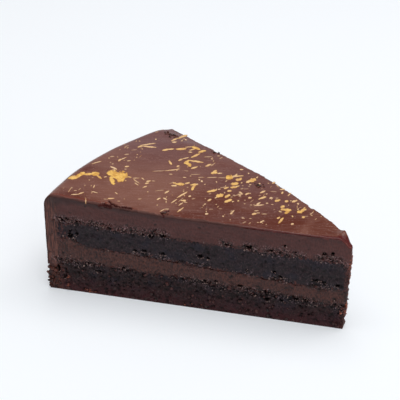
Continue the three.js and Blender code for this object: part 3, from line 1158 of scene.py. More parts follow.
def moulded(textures: list[tuple[Texture, Array]], s: Array, v: Array, z: Array, along: Array,
            sunk: Array) -> Surface:
    """Gives points of the slice with the relief of its cuts and its tip.

    Args:
        textures: How the food breaks up, each with its share at every point.
        s, v, z: The place in the slice.
        along: Distance from the blunt tip's own face.
        sunk: How far the cuts are set back.

    Returns:
        The surface, marked with its pits and torn bands.
    """
    width = FORM.width(s)
    reach = np.minimum(RELIEF_REACH, 0.45 * width)
    near = np.clip(1 - v * width / reach, 0, 1)
    far = np.clip(1 - (1 - v) * width / reach, 0, 1)
    tip = np.clip(1 - along / RELIEF_REACH, 0, 1)
    settle = ease(z, 0.0, 1.0)
    pit, torn = np.zeros(s.shape), np.zeros(s.shape)
    shifts = []
    for face, weight in ((Face.NEAR_CUT, near), (Face.FAR_CUT, far), (Face.TIP, tip)):
        run = RELIEF.run(face, s, v)
        shift = -weight * sunk
        for texture, share in textures:
            active = (weight > 0) & (share > 0)
            height, holes, bands = RELIEF.height(texture, run[active], s[active], v[active], z[active])
            held = weight[active] * share[active]
            shift[active] += held * settle[active] * height
            pit[active] = np.maximum(pit[active], held * holes)
            torn[active] = np.maximum(torn[active], held * bands)
        shifts.append(shift)
    sideways = shifts[1] - shifts[0]
    return Surface(FORM.points(s - shifts[2], v, z, sideways), {"pit": pit, "torn": torn})


@dataclass(frozen=True)
class Slit:
    """A place where the glaze tore open: its two ends and width in the picture, and its depth."""

    x0: float
    y0: float
    x1: float
    y1: float
    width: float
    depth: float


# Each row holds the two ends, the width and the depth.
SLITS = tuple(Slit(*row) for row in (
    (99.4, 204.6, 104.0, 203.6, 2.6, 1.1), (103.0, 203.6, 110.6, 205.4, 2.0, 1.1),
    (108.8, 200.8, 112.2, 203.8, 1.5, 0.6), (111.8, 203.6, 116.6, 205.6, 2.0, 1.0),
    (116.6, 205.6, 121.0, 206.8, 1.0, 0.6), (120.6, 206.7, 131.2, 208.2, 1.9, 1.0),
    (87.0, 202.4, 97.8, 204.6, 0.6, 0.3), (161.6, 212.6, 168.8, 210.9, 1.3, 0.4),
    (161.8, 214.0, 163.6, 215.6, 1.2, 0.4), (120.4, 211.2, 135.2, 213.2, 0.6, 0.3),
))


def within(slit: Slit, x: Array, y: Array) -> Array:
    """Gives how far places in the picture lie inside a slit's ragged outline, below 0 outside it."""
    across_x, across_y = slit.x1 - slit.x0, slit.y1 - slit.y0
    part = ((x - slit.x0) * across_x + (y - slit.y0) * across_y) / (across_x**2 + across_y**2)
    part = np.clip(part, 0, 1)
    away = np.hypot(x - slit.x0 - part * across_x, y - slit.y0 - part * across_y)
    return 0.5 * slit.width * (1 + 0.4 * grain(x / 2.5, y / 1.2, 23)) - away


def torn_glaze(s: Array, v: Array, margin: float = 0.0) -> tuple[Array, Array]:
    """Finds the slits in the glaze.

    Args:
        s, v: The place on the plan.
        margin: By how much each slit is widened on every side, in the picture.

    Returns:
        The depth of the slits in millimetres, and a mark that is 1 inside them.
    """
    x, y = VIEW.seen_on_top(s, v)
    depth, inside = np.zeros(s.shape), np.zeros(s.shape)
    for slit in SLITS:
        bite = within(slit, x, y) + margin
        depth = np.maximum(depth, slit.depth * ease(bite, -0.3, 0.4))
        inside = np.maximum(inside, ease(bite, -0.4, 0.1))
    return depth, inside


@dataclass(frozen=True)
class HazeAndSheen:
    """A soft patch where the glaze has dulled and is painted lighter, as a stand-in for a soft reflection, or
    stayed wetter and is painted darker where its strength is below 0.

    Length and width are the distances, along and across the slice, at which it has mostly faded.
    """

    s: float
    v: float
    length: float
    width: float
    strength: float


# The stretches of the glaze's red rolled edge on the near cut, as they lie in the picture.
RED_ROLL = tuple(Slit(*row) for row in (
    (300.0, 234.0, 326.0, 236.9, 1.0, 0.0), (322.0, 236.4, 338.5, 238.0, 2.4, 0.0),
    (338.5, 238.0, 346.0, 238.6, 5.4, 0.0), (346.0, 238.8, 350.6, 246.0, 5.4, 0.0),
))

# Patches above 0 are painted lighter, and those below 0 darker, in place of reflections; the ones at s 117
# and 119 are painted highlights along the round rim edge and at its near corner.
# Each row holds s, v, length, width and strength.
HAZE_AND_SHEEN_PATCHES = tuple(HazeAndSheen(*row) for row in (
    (96, 0.15, 9, 6, 0.35), (84, 0.36, 12, 14, 0.5), (74, 0.10, 7, 6, 0.35), (34, 0.97, 18, 2.6, 0.5),
    (24, 0.06, 17, 2.6, 0.3), (18.5, 0.22, 2.0, 9, 0.45), (50, 0.50, 14, 8, 0.15),
    (117, 0.62, 4, 17, 0.5), (5, 0.75, 5, 4, 0.2), (36, 0.0, 24, 4, -0.3), (28, 0.68, 5, 4, -0.4),
    (30, 0.25, 10, 6, -0.3), (58, 0.03, 12, 5, -0.45), (111, 0.02, 6, 5, -0.6), (116, 0.33, 4, 7, -0.35),
    (89, 0.97, 6, 4, -0.5), (112, 0.97, 7, 5, -0.6), (64, 0.04, 9, 4, -0.35), (100, 0.0, 20, 6, -0.3),
    (106, 0.9, 11, 12, -0.25), (60, 0.5, 12, 16, -0.15), (119, 0.03, 2.2, 5, 0.9),
    (114, 0.32, 2.6, 4, -0.5), (48, 0.2, 10, 6, -0.2),
))


def haze_and_sheen(s: Array, v: Array) -> Array:
    """Gives how dull the glaze is, and how much lighter its colour is painted there as a stand-in for
    reflections.

    Args:
        s, v: The place on the plan.

    Returns:
        0 where it is wet and clear, 1 where it is dull and painted lightest.
    """
    across = v * FORM.width(s)
    total = 0.15 + 0.5 * ease(s, 48, 84) + 0.22 * grain(s / 9, across / 5, 91)
    for patch in HAZE_AND_SHEEN_PATCHES:
        away = ((s - patch.s) / patch.length) ** 2 + ((v - patch.v) * FORM.width(s) / patch.width) ** 2
        total = total + patch.strength * np.exp(-away)
    return np.clip(total, 0, 1)


# The roll of glaze at the tip and the hollow behind it, each by its height, place and reach.
TIP_ROLL = ((0.9, 3.8, 1.3), (-0.45, 8.0, 2.2))


def glaze_swell(s: Array, v: Array) -> Array:
    """Gives the low waves left in the poured glaze.

    Args:
        s, v: The place on the plan.

    Returns:
        Heights in millimetres above the plain top.
    """
    across = v * FORM.width(s)
    broad = 0.16 * unevenness(s / 17 + 0.02 * across, across / 13, 81)
    roll = sum(height * np.exp(-(((s - place) / reach) ** 2)) for height, place, reach in TIP_ROLL)
    fine = 0.05 * unevenness(s / 6.5, across / 5, 82)
    return roll * ease(v, 0.3, 0.85) + broad + fine + 0.012 * grain(s / 2.2, across / 1.6, 83, 2)


def rim_drop(s: Array) -> Array:
    """Gives how far the round edge of the rim lies below the top."""
    past = np.clip((s - (FORM.length - FORM.edge_round)) / FORM.edge_round, 0, 1)
    return FORM.edge_round * (1 - np.sqrt(1 - past**2))


@dataclass(frozen=True)
class SkinPath:
    """The path of the coat and glaze: along the top, over the round edge and down the outer side.

    Each number of cells says how finely one stretch of it is divided.
    """

    top_cells: int
    edge_cells: int
    wall_cells: int
    foot_cells: int = 0

    @property
    def cells(self) -> int:
        """Number of cells along the whole path."""
        return self.top_cells + self.edge_cells + self.wall_cells + self.foot_cells

    def outer(self, u: Array, v: Array, depth: Array, end_z: Array | float) -> tuple[Array, Array]:
        """Follows the outer skin at a depth below the finished surface.

        Args:
            u: Place along the path, from 0 to 1.
            v: Place between the cuts.
            depth: Depth below the finished surface.
            end_z: Height at which the wall ends and the foot, if any, begins.

        Returns:
            s and z along the path.
        """
        step = u * self.cells
        rounding = FORM.edge_round - depth
        wall_s = FORM.length - depth
        edge_s = wall_s - rounding
        start = FORM.tip_start(TOP.tip)
        top_s = start + (edge_s - start) * np.clip(step / self.top_cells, 0, 1)
        top_z = FORM.seam_height(TOP, top_s, v) - depth
        turn = math.pi / 2 * np.clip((step - self.top_cells) / self.edge_cells, 0, 1)
        edge_z = FORM.seam_height(TOP, edge_s, v) - depth - rounding
        down = np.clip((step - self.top_cells - self.edge_cells) / self.wall_cells, 0, 1)
        on_top = step <= self.top_cells
        on_wall = step > self.top_cells + self.edge_cells
        s = np.where(on_top, top_s, edge_s + rounding * np.sin(turn))
        z = np.where(on_top, top_z, edge_z + rounding * np.cos(turn))
        return s, np.where(on_wall, edge_z + (end_z - edge_z) * down, z)


@dataclass
class Coat:
    """The thick ganache over the top and down the outer side, with its crumbly foot."""

    path: SkinPath = SkinPath(360, 12, 76, 34)
    stations: int = 64
    rows: int = 28
    over_lap: float = 0.3
    smear_reach: float = 0.8
    slit_margin: float = 0.8
    slit_share: float = 0.6
    foot_top: tuple[float, float] = (9.5, 12.5)
    side_blend: float = 0.6
    shade_reach: float = 2.2
    corner_shade_reach: float = 3.0
    corner: tuple[float, float] = (106.0, 116.0)
    less_at_tip: float = 1.2
    tip_part: tuple[float, float] = (30.0, 60.0)
    tip_thinner: float = 0.25
    inner_ragged: float = 1.5
    finish: GanacheFinish = GanacheFinish("set_ganache_coat", "#3c1e1c", "#582f2b", 0.5)

    def build(self) -> bpy.types.Object:
        """Moulds the coat and dresses it.

        Returns:
            The finished piece.
        """
        mesh = block(self.path.cells, self.stations, self.rows)
        u, w, t = corners_of(mesh).T
        v = crowded(t)
        inner_s, inner_z = self.inner(u, v)
        outer_s, outer_z = self.outer(u, v)
        s = inner_s + (outer_s - inner_s) * w
        z = inner_z + (outer_z - inner_z) * w
        on_top = u * self.path.cells <= self.path.top_cells
        along = np.where(on_top, u * self.path.cells / self.path.top_cells, 1) * FORM.length
        wall = FORM.length - FORM.coat
        foot = ease(s, wall - 1, wall) * (1 - ease(z, *self.foot_top))
        side = ease(s, wall - self.side_blend, wall + self.side_blend) * (1 - foot)
        textures = [(FOOT_TEXTURE, foot), (SIDE_TEXTURE, side), (COAT_TEXTURE, 1 - foot - side)]
        surface = moulded(textures, s, v, z, along, np.zeros(s.shape))
        distance = np.abs(z - FORM.seam_height(UPPER_TOP, s, v))
        distance = np.where(s > wall, s - FORM.length + FORM.coat, distance)
        smear = smeared(distance / self.smear_reach, s, v, z)
        # The under mark is painted shade just below the glaze's edge.
        surface.marks |= {"smear": smear, "foot": foot, "side": side, "under": self.shade_under_glaze(s, v, z)}
        return surface.dress("ganache_coat", mesh, self.finish, "ganache_coat")

    def shade_under_glaze(self, s: Array, v: Array, z: Array) -> Array:
        """Gives the painted shade in a band just under the glaze's edge, wider at the corner by the rim.

        Args:
            s, v, z: The place in the slice.

        Returns:
            0 where no shade is painted and up to 1 in the band.
        """
        depth = FORM.seam_height(TOP, s, v) - FORM.glaze - z
        reach = self.shade_reach + self.corner_shade_reach * ease(s, *self.corner)
        reach = reach - self.less_at_tip * (1 - ease(s, *self.tip_part))
        band = 1 - ease(depth + 0.6 * grain(s / 2.2, v * 9, 53), 0.2, reach)
        return band * (0.15 + 0.6 * ease(s, 45, 100))

    def inner(self, u: Array, v: Array) -> tuple[Array, Array]:
        """Follows the coat's inner side, with a ragged edge where it meets the sponge.

        Args:
            u: Place along the path, from 0 to 1.
            v: Place between the cuts.

        Returns:
            s and z along the path.
        """
        wall_s = FORM.length - FORM.coat - self.over_lap
        step = u * self.path.cells
        s = wall_s * np.clip(step / self.path.top_cells, 0, 1)
        top_z = FORM.seam_height(UPPER_TOP, s, v) + ragged_edge(s, v, UPPER_TOP.seed)
        down = np.clip((step - self.path.top_cells) / (self.path.cells - self.path.top_cells), 0, 1)
        z = top_z * (1 - down)
        return s + self.inner_ragged * ease(down, 0, 0.05) * ragged_edge(z + 150, v, 77), z

    def outer(self, u: Array, v: Array) -> tuple[Array, Array]:
        """Follows the coat's outer side, under the glaze and then down the crumbly foot.

        Args:
            u: Place along the path, from 0 to 1.
            v: Place between the cuts.

        Returns:
            s and z along the path.
        """
        depth = 0.6 * FORM.glaze
        s, z = self.path.outer(u, v, np.full(u.shape, depth), FORM.foot_ledge)
        z = z - self.tip_thinner * FORM.glaze * (1 - ease(s, 36, 46)) * ease(s, 3, 12)
        foot_start = self.path.cells - self.path.foot_cells
        down = np.clip((u * self.path.cells - foot_start) / self.path.foot_cells, 0, 1)
        z = np.where(down > 0, FORM.foot_ledge * (1 - down), z)
        z = z - self.slit_share * torn_glaze(s, v, self.slit_margin)[0]
        lump = 0.4 + 0.5 * grain(v * 40, z / 1.9, 31)
        return s + ease(down, 0, 0.1) * depth * lump, z


@dataclass
class Glaze:
    """The thin poured glaze. It curls over the tip and ends raggedly above the crumbly foot."""

    path: SkinPath = SkinPath(280, 14, 34)
    path_mm: float = 200.0
    stations: int = 130
    rows: int = 3
    edge_soft: float = 0.8
    edge_drop: float = 0.4
    edge_waves: float = 0.5
    undercut: float = 0.12
    far_wear: float = 0.5
    crisp_edge: tuple[float, float] = (36.0, 46.0)
    curl_reach: float = 1.8
    curl_out: float = 0.1
    curl_down: float = 0.8
    tip_thicker: float = 0.45
    tip_thicker_reach: tuple[float, float] = (2.0, 16.0)
    gap_depth: tuple[float, float] = (0.05, 0.2)
    roll_soft: tuple[float, float] = (-0.5, 0.7)
    roll_reach: tuple[float, float] = (50.0, 55.0)
    finish: GlazeFinish = GlazeFinish()

    def build(self) -> bpy.types.Object:
        """Moulds the glaze and dresses it.

        Returns:
            The finished piece.
        """
        mesh = block(self.path.cells, self.stations, self.rows)
        u, w, t = corners_of(mesh).T
        v = crowded(t)
        end_z = FORM.glaze_end + FORM.glaze_ragged * unevenness(5 * v, 0.5, 71)
        end_z = end_z + self.edge_waves * grain(17 * v, 0.5, 72)
        s, z = self.path.outer(u, v, (1 - w) * FORM.glaze, end_z)
        from_cut = np.minimum(v, 1 - v) * FORM.width(s)
        depth, inside = torn_glaze(s, v)
        z = z + w * glaze_swell(s, v) - depth
        crisp = 1 - ease(s, *self.crisp_edge)
        drop = self.edge_drop * (1 - 0.7 * crisp)
        z = z - w * drop * np.clip(1 - from_cut / (self.edge_soft * (1 - 0.5 * crisp)), 0, 1) ** 2
        curl = (1 - ease(s, 0.0, self.curl_reach)) * (0.85 + 0.3 * unevenness(4 * v, 0.5, 73))
        thicker = self.tip_thicker * (1 - ease(s, *self.tip_thicker_reach))
        z = z - (1 - w) * (self.curl_down * curl + thicker)
        sunk = self.undercut * (1 - ease(w, 0.3, 0.6))
        worn = ease(unevenness(s / 3.6, 0.5, 68) + 0.25 * grain(s / 1.1, 0.5, 69), -0.05, 0.45)
        sunk = sunk + self.far_wear * worn * (v > 0.5) * ease(s, 2, 8)
        textures = [(GLAZE_EDGE_TEXTURE, 0.8 * np.ones(s.shape))]
        surface = moulded(textures, s - self.curl_out * curl, v, z, u * self.path_mm, sunk)
        surface.marks |= self.edge_marks(s, v, surface.points, inside)
        # Painted shade deep in the slits.
        surface.marks["gap"] = inside * ease(depth, *self.gap_depth)
        # Dull patches, painted lighter as a stand-in for reflections.
        surface.marks["haze_and_sheen"] = haze_and_sheen(s, v)
        # Painted cool sheen over the far half, stronger towards the rim.
        surface.marks["painted_cool_sheen"] = ease(v, 0.35, 0.8) * (0.45 + 0.4 * ease(s, 85, 108)) * ease(s, 15, 40)
        return surface.dress("glaze", mesh, self.finish, "glaze", sharp=75.0)

    def edge_marks(self, s: Array, v: Array, points: Array, inside: Array) -> dict[str, Array]:
        """Gives how the glaze ends at the near cut: a crisp red roll near the tip, merged further out.

        Args:
            s, v: The place on the plan.
            points: The moulded points, in metres.
            inside: 1 inside the slits.

        Returns:
            The marks of the red edge, of the merged edge and of the lip above it.
        """
        from_cut = np.minimum(v, 1 - v) * FORM.width(s)
        crisp = 1 - ease(s, *self.crisp_edge)
        column, row = VIEW.seen(points)
        rolled = np.max([ease(within(stretch, column, row), *self.roll_soft) for stretch in RED_ROLL], axis=0)
        rolled = rolled * ease(self.roll_reach[1] - s, 0, self.roll_reach[1] - self.roll_reach[0])
        red_edge = 0.9 * (1 - ease(from_cut, 0.02, 0.2)) * crisp * (v < 0.5)
        fade = from_cut + 0.8 * grain(s / 3, v * 3, 61)
        merging = (1 - crisp) * (v < 0.5)
        merged = np.maximum(1 - ease(from_cut, 0.1, 0.8), 0.8 * (1 - ease(fade, 0.4, 1.5)))
        reddish = 0.2 + 0.8 * ease(s, 78, 88)
        broken = 0.35 + 0.65 * ease(grain(s / 5, v * 4, 87), -0.25, 0.2)
        return {
            "edge": np.maximum(np.maximum(red_edge, 0.5 * inside), rolled),
            "merged": merging * merged,
            "lip": broken * reddish * (1 - ease(fade, 0.8, 3.0)) * merging,
        }


@dataclass(frozen=True)
class Stroke:
    """One flick of gold: its two ends and its width in the picture, and how thinly it lies.

    Thin runs from 0, solid gold, by 0.5, a creamy film, to 1, a veil that hardly shows.
    """

    x0: float
    y0: float
    x1: float
    y1: float
    width: float
    thin: float = 0.0


# In the tables of gold, each row holds the two ends and the width of a stroke, and how thin it is.
BLOTS = tuple(Stroke(*row) for row in (
    (67.5, 178.2, 80.5, 176.4, 3.6, 0.05), (75.5, 177.0, 85.0, 172.8, 3.8),
    (83.5, 174.6, 95.0, 174.2, 2.3, 0.05), (91.3, 174.4, 99.3, 173.8, 4.4),
    (96.3, 175.2, 101.8, 179.0, 2.1, 0.1), (111.5, 176.2, 127.8, 176.0, 9.8),
    (106.6, 173.6, 118.0, 173.2, 5.8), (110.4, 176.6, 113.8, 184.9, 5.2),
    (116.6, 180.4, 124.4, 180.2, 4.0), (126.0, 176.8, 131.8, 177.7, 1.1, 0.2),
))

LEFT_FLICKS = tuple(Stroke(*row) for row in (
    (110.0, 166.3, 117.0, 169.5, 2.0, 0.5), (94.8, 184.8, 93.3, 188.3, 1.4, 0.45),
    (91.2, 191.3, 97.8, 193.0, 1.2, 0.65), (71.0, 194.5, 78.0, 194.3, 1.2, 0.5),
    (77.2, 194.5, 84.0, 192.2, 1.3, 0.4), (73.6, 190.5, 77.0, 190.5, 1.0, 0.7),
    (85.6, 197.0, 85.8, 204.2, 1.3, 0.55), (107.6, 198.6, 114.5, 198.3, 1.4, 0.35),
    (114.6, 192.1, 117.8, 194.4, 1.1, 0.55), (118.0, 160.8, 121.2, 159.2, 1.8, 0.35),
    (120.2, 159.7, 126.8, 157.0, 1.0, 0.5), (124.5, 166.8, 129.4, 166.0, 1.6, 0.35),
    (91.5, 164.0, 101.8, 161.0, 1.1, 0.55), (109.8, 156.8, 114.4, 156.2, 1.1, 0.75),
    (124.2, 154.6, 129.4, 153.9, 1.1, 0.75), (124.9, 181.0, 126.6, 181.0, 1.3, 0.3),
    (132.4, 178.6, 140.0, 178.3, 0.9, 0.55), (132.8, 179.0, 140.3, 184.3, 0.9, 0.55),
    (134.3, 183.0, 139.0, 185.9, 1.0, 0.5), (141.3, 177.9, 144.2, 180.0, 1.2, 0.5),
    (146.0, 181.9, 151.1, 181.0, 1.6, 0.4), (144.9, 184.0, 149.2, 183.2, 1.5, 0.4),
    (142.3, 188.1, 147.6, 186.0, 1.3, 0.4), (137.3, 147.4, 142.2, 145.7, 1.6, 0.3),
    (139.6, 145.5, 156.0, 143.1, 1.3, 0.4), (141.5, 146.0, 156.5, 147.6, 1.5, 0.4),
    (155.0, 139.2, 156.7, 139.2, 1.5, 0.45),
))

FAR_FLICKS = tuple(Stroke(*row) for row in (
    (162.0, 150.7, 169.2, 149.3, 1.9, 0.25), (167.8, 149.5, 174.6, 149.1, 1.5, 0.3),
    (175.4, 149.3, 186.8, 148.9, 2.3, 0.15), (184.8, 147.6, 192.8, 147.1, 1.0, 0.35),
    (191.4, 146.8, 200.2, 149.8, 3.0, 0.05), (188.6, 150.7, 195.2, 149.4, 1.2, 0.3),
    (198.0, 152.5, 206.5, 150.4, 2.3, 0.1), (190.2, 158.1, 200.3, 153.7, 1.9, 0.2),
    (188.2, 152.3, 192.3, 152.5, 1.1, 0.4), (177.8, 161.1, 183.0, 159.0, 1.7, 0.3),
    (182.0, 159.3, 189.0, 157.6, 1.1, 0.4), (183.6, 163.9, 189.6, 160.3, 2.9, 0.1),
    (185.0, 161.6, 191.0, 166.4, 3.7, 0.05), (188.4, 160.5, 203.8, 162.7, 1.8, 0.25),
    (168.9, 160.7, 171.9, 164.8, 2.1, 0.25), (176.5, 167.1, 179.5, 166.0, 1.6, 0.35),
    (190.8, 168.8, 197.8, 166.8, 1.7, 0.3), (165.0, 171.0, 180.4, 169.1, 1.1, 0.4),
    (151.5, 171.5, 165.5, 170.8, 1.1, 0.85), (190.5, 174.5, 200.4, 174.4, 0.9, 0.75),
    (205.1, 166.6, 211.3, 164.2, 1.7, 0.3), (203.8, 157.2, 212.3, 156.7, 1.0, 0.8),
    (198.7, 179.2, 200.0, 180.6, 1.5, 0.55), (200.7, 181.2, 203.0, 181.3, 1.7, 0.5),
    (171.0, 141.0, 177.2, 138.2, 1.7, 0.3), (176.4, 138.5, 183.8, 136.5, 1.7, 0.25),
    (180.4, 136.7, 187.4, 135.1, 2.3, 0.2), (172.0, 142.6, 176.8, 142.4, 1.5, 0.45),
    (183.8, 139.3, 187.2, 140.1, 1.1, 0.5), (210.8, 173.7, 217.8, 172.2, 2.8, 0.15),
    (213.0, 172.3, 217.0, 170.2, 1.9, 0.2), (216.8, 173.5, 222.8, 173.3, 1.4, 0.45),
    (206.8, 177.7, 217.5, 177.5, 1.0, 0.7), (217.2, 177.8, 226.4, 178.0, 1.0, 0.85),
    (197.8, 177.6, 204.6, 177.4, 1.0, 0.8), (216.1, 181.2, 217.0, 183.0, 1.5, 0.6),
))

MIDDLE_FLICKS = tuple(Stroke(*row) for row in (
    (172.8, 183.3, 176.2, 183.6, 1.6, 0.2), (175.2, 184.3, 184.8, 184.7, 2.9, 0.1),
    (171.0, 186.0, 177.2, 186.1, 1.7, 0.4), (184.8, 184.0, 190.2, 183.2, 1.9, 0.3),
    (190.3, 185.5, 198.1, 184.5, 2.1, 0.15), (195.4, 184.8, 191.4, 190.5, 2.9, 0.1),
    (164.5, 193.4, 169.5, 190.9, 1.7, 0.45), (176.8, 198.0, 187.8, 191.9, 1.6, 0.4),
    (188.2, 196.5, 191.2, 196.4, 1.3, 0.5), (206.4, 192.3, 217.0, 190.2, 2.4, 0.15),
    (215.5, 190.9, 217.2, 188.8, 1.1, 0.3), (217.7, 189.7, 220.9, 189.3, 1.5, 0.45),
    (223.6, 189.2, 228.8, 187.3, 1.8, 0.2), (221.8, 187.7, 226.0, 187.3, 1.0, 0.7),
    (227.2, 191.5, 231.6, 191.1, 2.0, 0.2), (215.7, 196.0, 223.8, 195.4, 3.7, 0.1),
    (214.7, 198.5, 217.1, 197.3, 1.3, 0.5), (224.5, 197.4, 230.3, 195.1, 2.9, 0.15),
    (223.8, 193.5, 225.3, 192.6, 1.2, 0.6), (224.4, 202.0, 232.2, 199.5, 2.7, 0.15),
    (231.6, 201.6, 234.4, 201.2, 1.3, 0.45), (207.5, 200.9, 211.7, 199.4, 1.9, 0.35),
    (154.8, 191.1, 164.0, 190.3, 1.0, 0.85), (184.1, 194.8, 184.9, 197.0, 1.2, 0.65),
    (171.0, 203.3, 177.4, 198.9, 1.4, 0.45), (180.8, 200.7, 186.5, 200.4, 1.8, 0.3),
    (183.1, 202.0, 187.4, 202.6, 1.1, 0.6), (178.2, 205.7, 183.4, 202.6, 1.2, 0.5),
    (176.7, 212.6, 184.2, 207.2, 1.5, 0.4), (159.3, 211.9, 165.4, 209.0, 1.2, 0.6),
    (164.8, 209.3, 169.1, 209.3, 1.1, 0.6), (156.8, 199.7, 160.8, 198.1, 1.6, 0.45),
    (163.0, 198.0, 167.4, 199.8, 1.4, 0.5), (166.2, 200.6, 166.2, 203.0, 1.4, 0.65),
    (205.0, 214.1, 208.3, 213.9, 2.0, 0.55), (205.7, 211.2, 206.8, 211.9, 1.2, 0.65),
    (230.0, 214.0, 232.4, 212.3, 1.9, 0.4), (231.7, 212.9, 234.4, 210.0, 1.3, 0.5),
    (222.5, 215.7, 224.0, 217.0, 1.6, 0.55),
))

TIP_FLICKS = tuple(Stroke(*row) for row in (
    (225.7, 177.6, 232.8, 177.6, 4.5), (230.8, 176.5, 244.0, 175.9, 1.5, 0.3),
    (235.6, 180.2, 242.1, 179.0, 3.1, 0.15), (234.8, 175.9, 237.4, 174.2, 1.4, 0.4),
    (239.7, 169.6, 243.5, 169.6, 1.4, 0.5), (247.9, 173.7, 249.4, 173.5, 1.6, 0.5),
    (245.8, 182.5, 250.7, 181.0, 2.5, 0.3), (248.8, 181.2, 256.3, 179.7, 3.6, 0.1),
    (256.0, 178.3, 258.2, 176.8, 1.5, 0.55), (230.8, 184.3, 238.3, 183.3, 3.1, 0.1),
    (230.4, 187.8, 237.2, 186.9, 2.6, 0.1), (234.8, 186.6, 239.8, 186.0, 1.3, 0.25),
    (237.2, 200.8, 239.4, 200.6, 1.5, 0.35), (238.7, 192.2, 242.4, 193.5, 1.5, 0.45),
    (237.1, 194.6, 243.5, 194.0, 1.2, 0.55), (233.5, 195.7, 241.2, 195.0, 0.9, 0.8),
    (244.8, 194.6, 249.7, 193.1, 1.8, 0.35), (248.2, 197.8, 251.8, 197.4, 1.6, 0.35),
    (248.9, 184.8, 251.4, 184.4, 1.3, 0.55), (240.7, 183.2, 242.5, 182.5, 1.2, 0.55),
    (258.2, 184.1, 260.6, 183.5, 1.4, 0.5), (259.8, 193.1, 265.6, 191.0, 1.8, 0.4),
    (258.2, 199.0, 266.4, 196.4, 2.1, 0.3), (269.4, 198.5, 272.4, 197.3, 1.9, 0.5),
    (256.2, 204.3, 260.6, 202.1, 1.7, 0.5), (253.5, 205.6, 264.3, 204.6, 1.2, 0.5),
    (265.6, 203.3, 268.4, 203.0, 1.8, 0.65), (251.8, 214.5, 256.7, 213.4, 2.2, 0.3),
    (259.8, 223.1, 262.5, 221.5, 1.5, 0.45), (261.5, 221.9, 264.2, 221.0, 1.4, 0.5),
    (241.4, 217.3, 244.9, 218.7, 1.5, 0.8), (242.2, 223.5, 246.2, 221.9, 1.4, 0.85),
    (271.8, 183.3, 275.4, 182.3, 1.7, 0.4), (275.9, 183.9, 278.7, 187.7, 0.9, 0.5),
    (279.6, 189.7, 284.8, 189.4, 1.4, 0.35), (281.2, 193.4, 283.4, 192.2, 1.7, 0.35),
    (287.7, 195.9, 291.2, 192.7, 1.3, 0.4), (274.7, 200.9, 280.5, 199.7, 2.9, 0.15),
    (284.7, 201.2, 288.3, 200.8, 2.5, 0.2), (291.7, 201.7, 297.6, 200.1, 2.3, 0.35),
    (297.0, 203.3, 299.2, 203.7, 1.8, 0.55), (297.3, 204.6, 297.2, 208.8, 1.0, 0.65),
    (297.1, 209.5, 299.2, 208.7, 1.5, 0.45), (280.4, 207.0, 285.0, 206.2, 3.0, 0.15),
    (280.4, 209.7, 286.2, 209.2, 2.1, 0.15), (284.2, 209.8, 291.6, 210.3, 3.0, 0.05),
    (284.4, 213.3, 289.2, 211.5, 2.7, 0.05), (297.0, 212.6, 302.4, 211.9, 3.8, 0.05),
    (299.6, 211.9, 306.9, 208.8, 2.7, 0.1), (303.0, 208.9, 305.8, 206.8, 1.3, 0.25),
    (291.9, 217.0, 293.0, 216.1, 2.0, 0.3), (301.7, 217.4, 305.3, 216.8, 2.3, 0.2),
    (276.8, 219.0, 280.3, 217.3, 1.7, 0.2), (278.2, 223.8, 283.6, 217.7, 2.5, 0.15),
    (290.7, 224.3, 294.0, 223.8, 1.8, 0.45), (310.1, 215.3, 314.4, 210.4, 1.0, 0.6),
    (310.1, 215.1, 312.9, 215.7, 1.0, 0.65),
))

# Where the glaze shows through inside a blot.
BARE_SPOTS = (Stroke(114.9, 179.4, 117.0, 181.6, 1.7),)


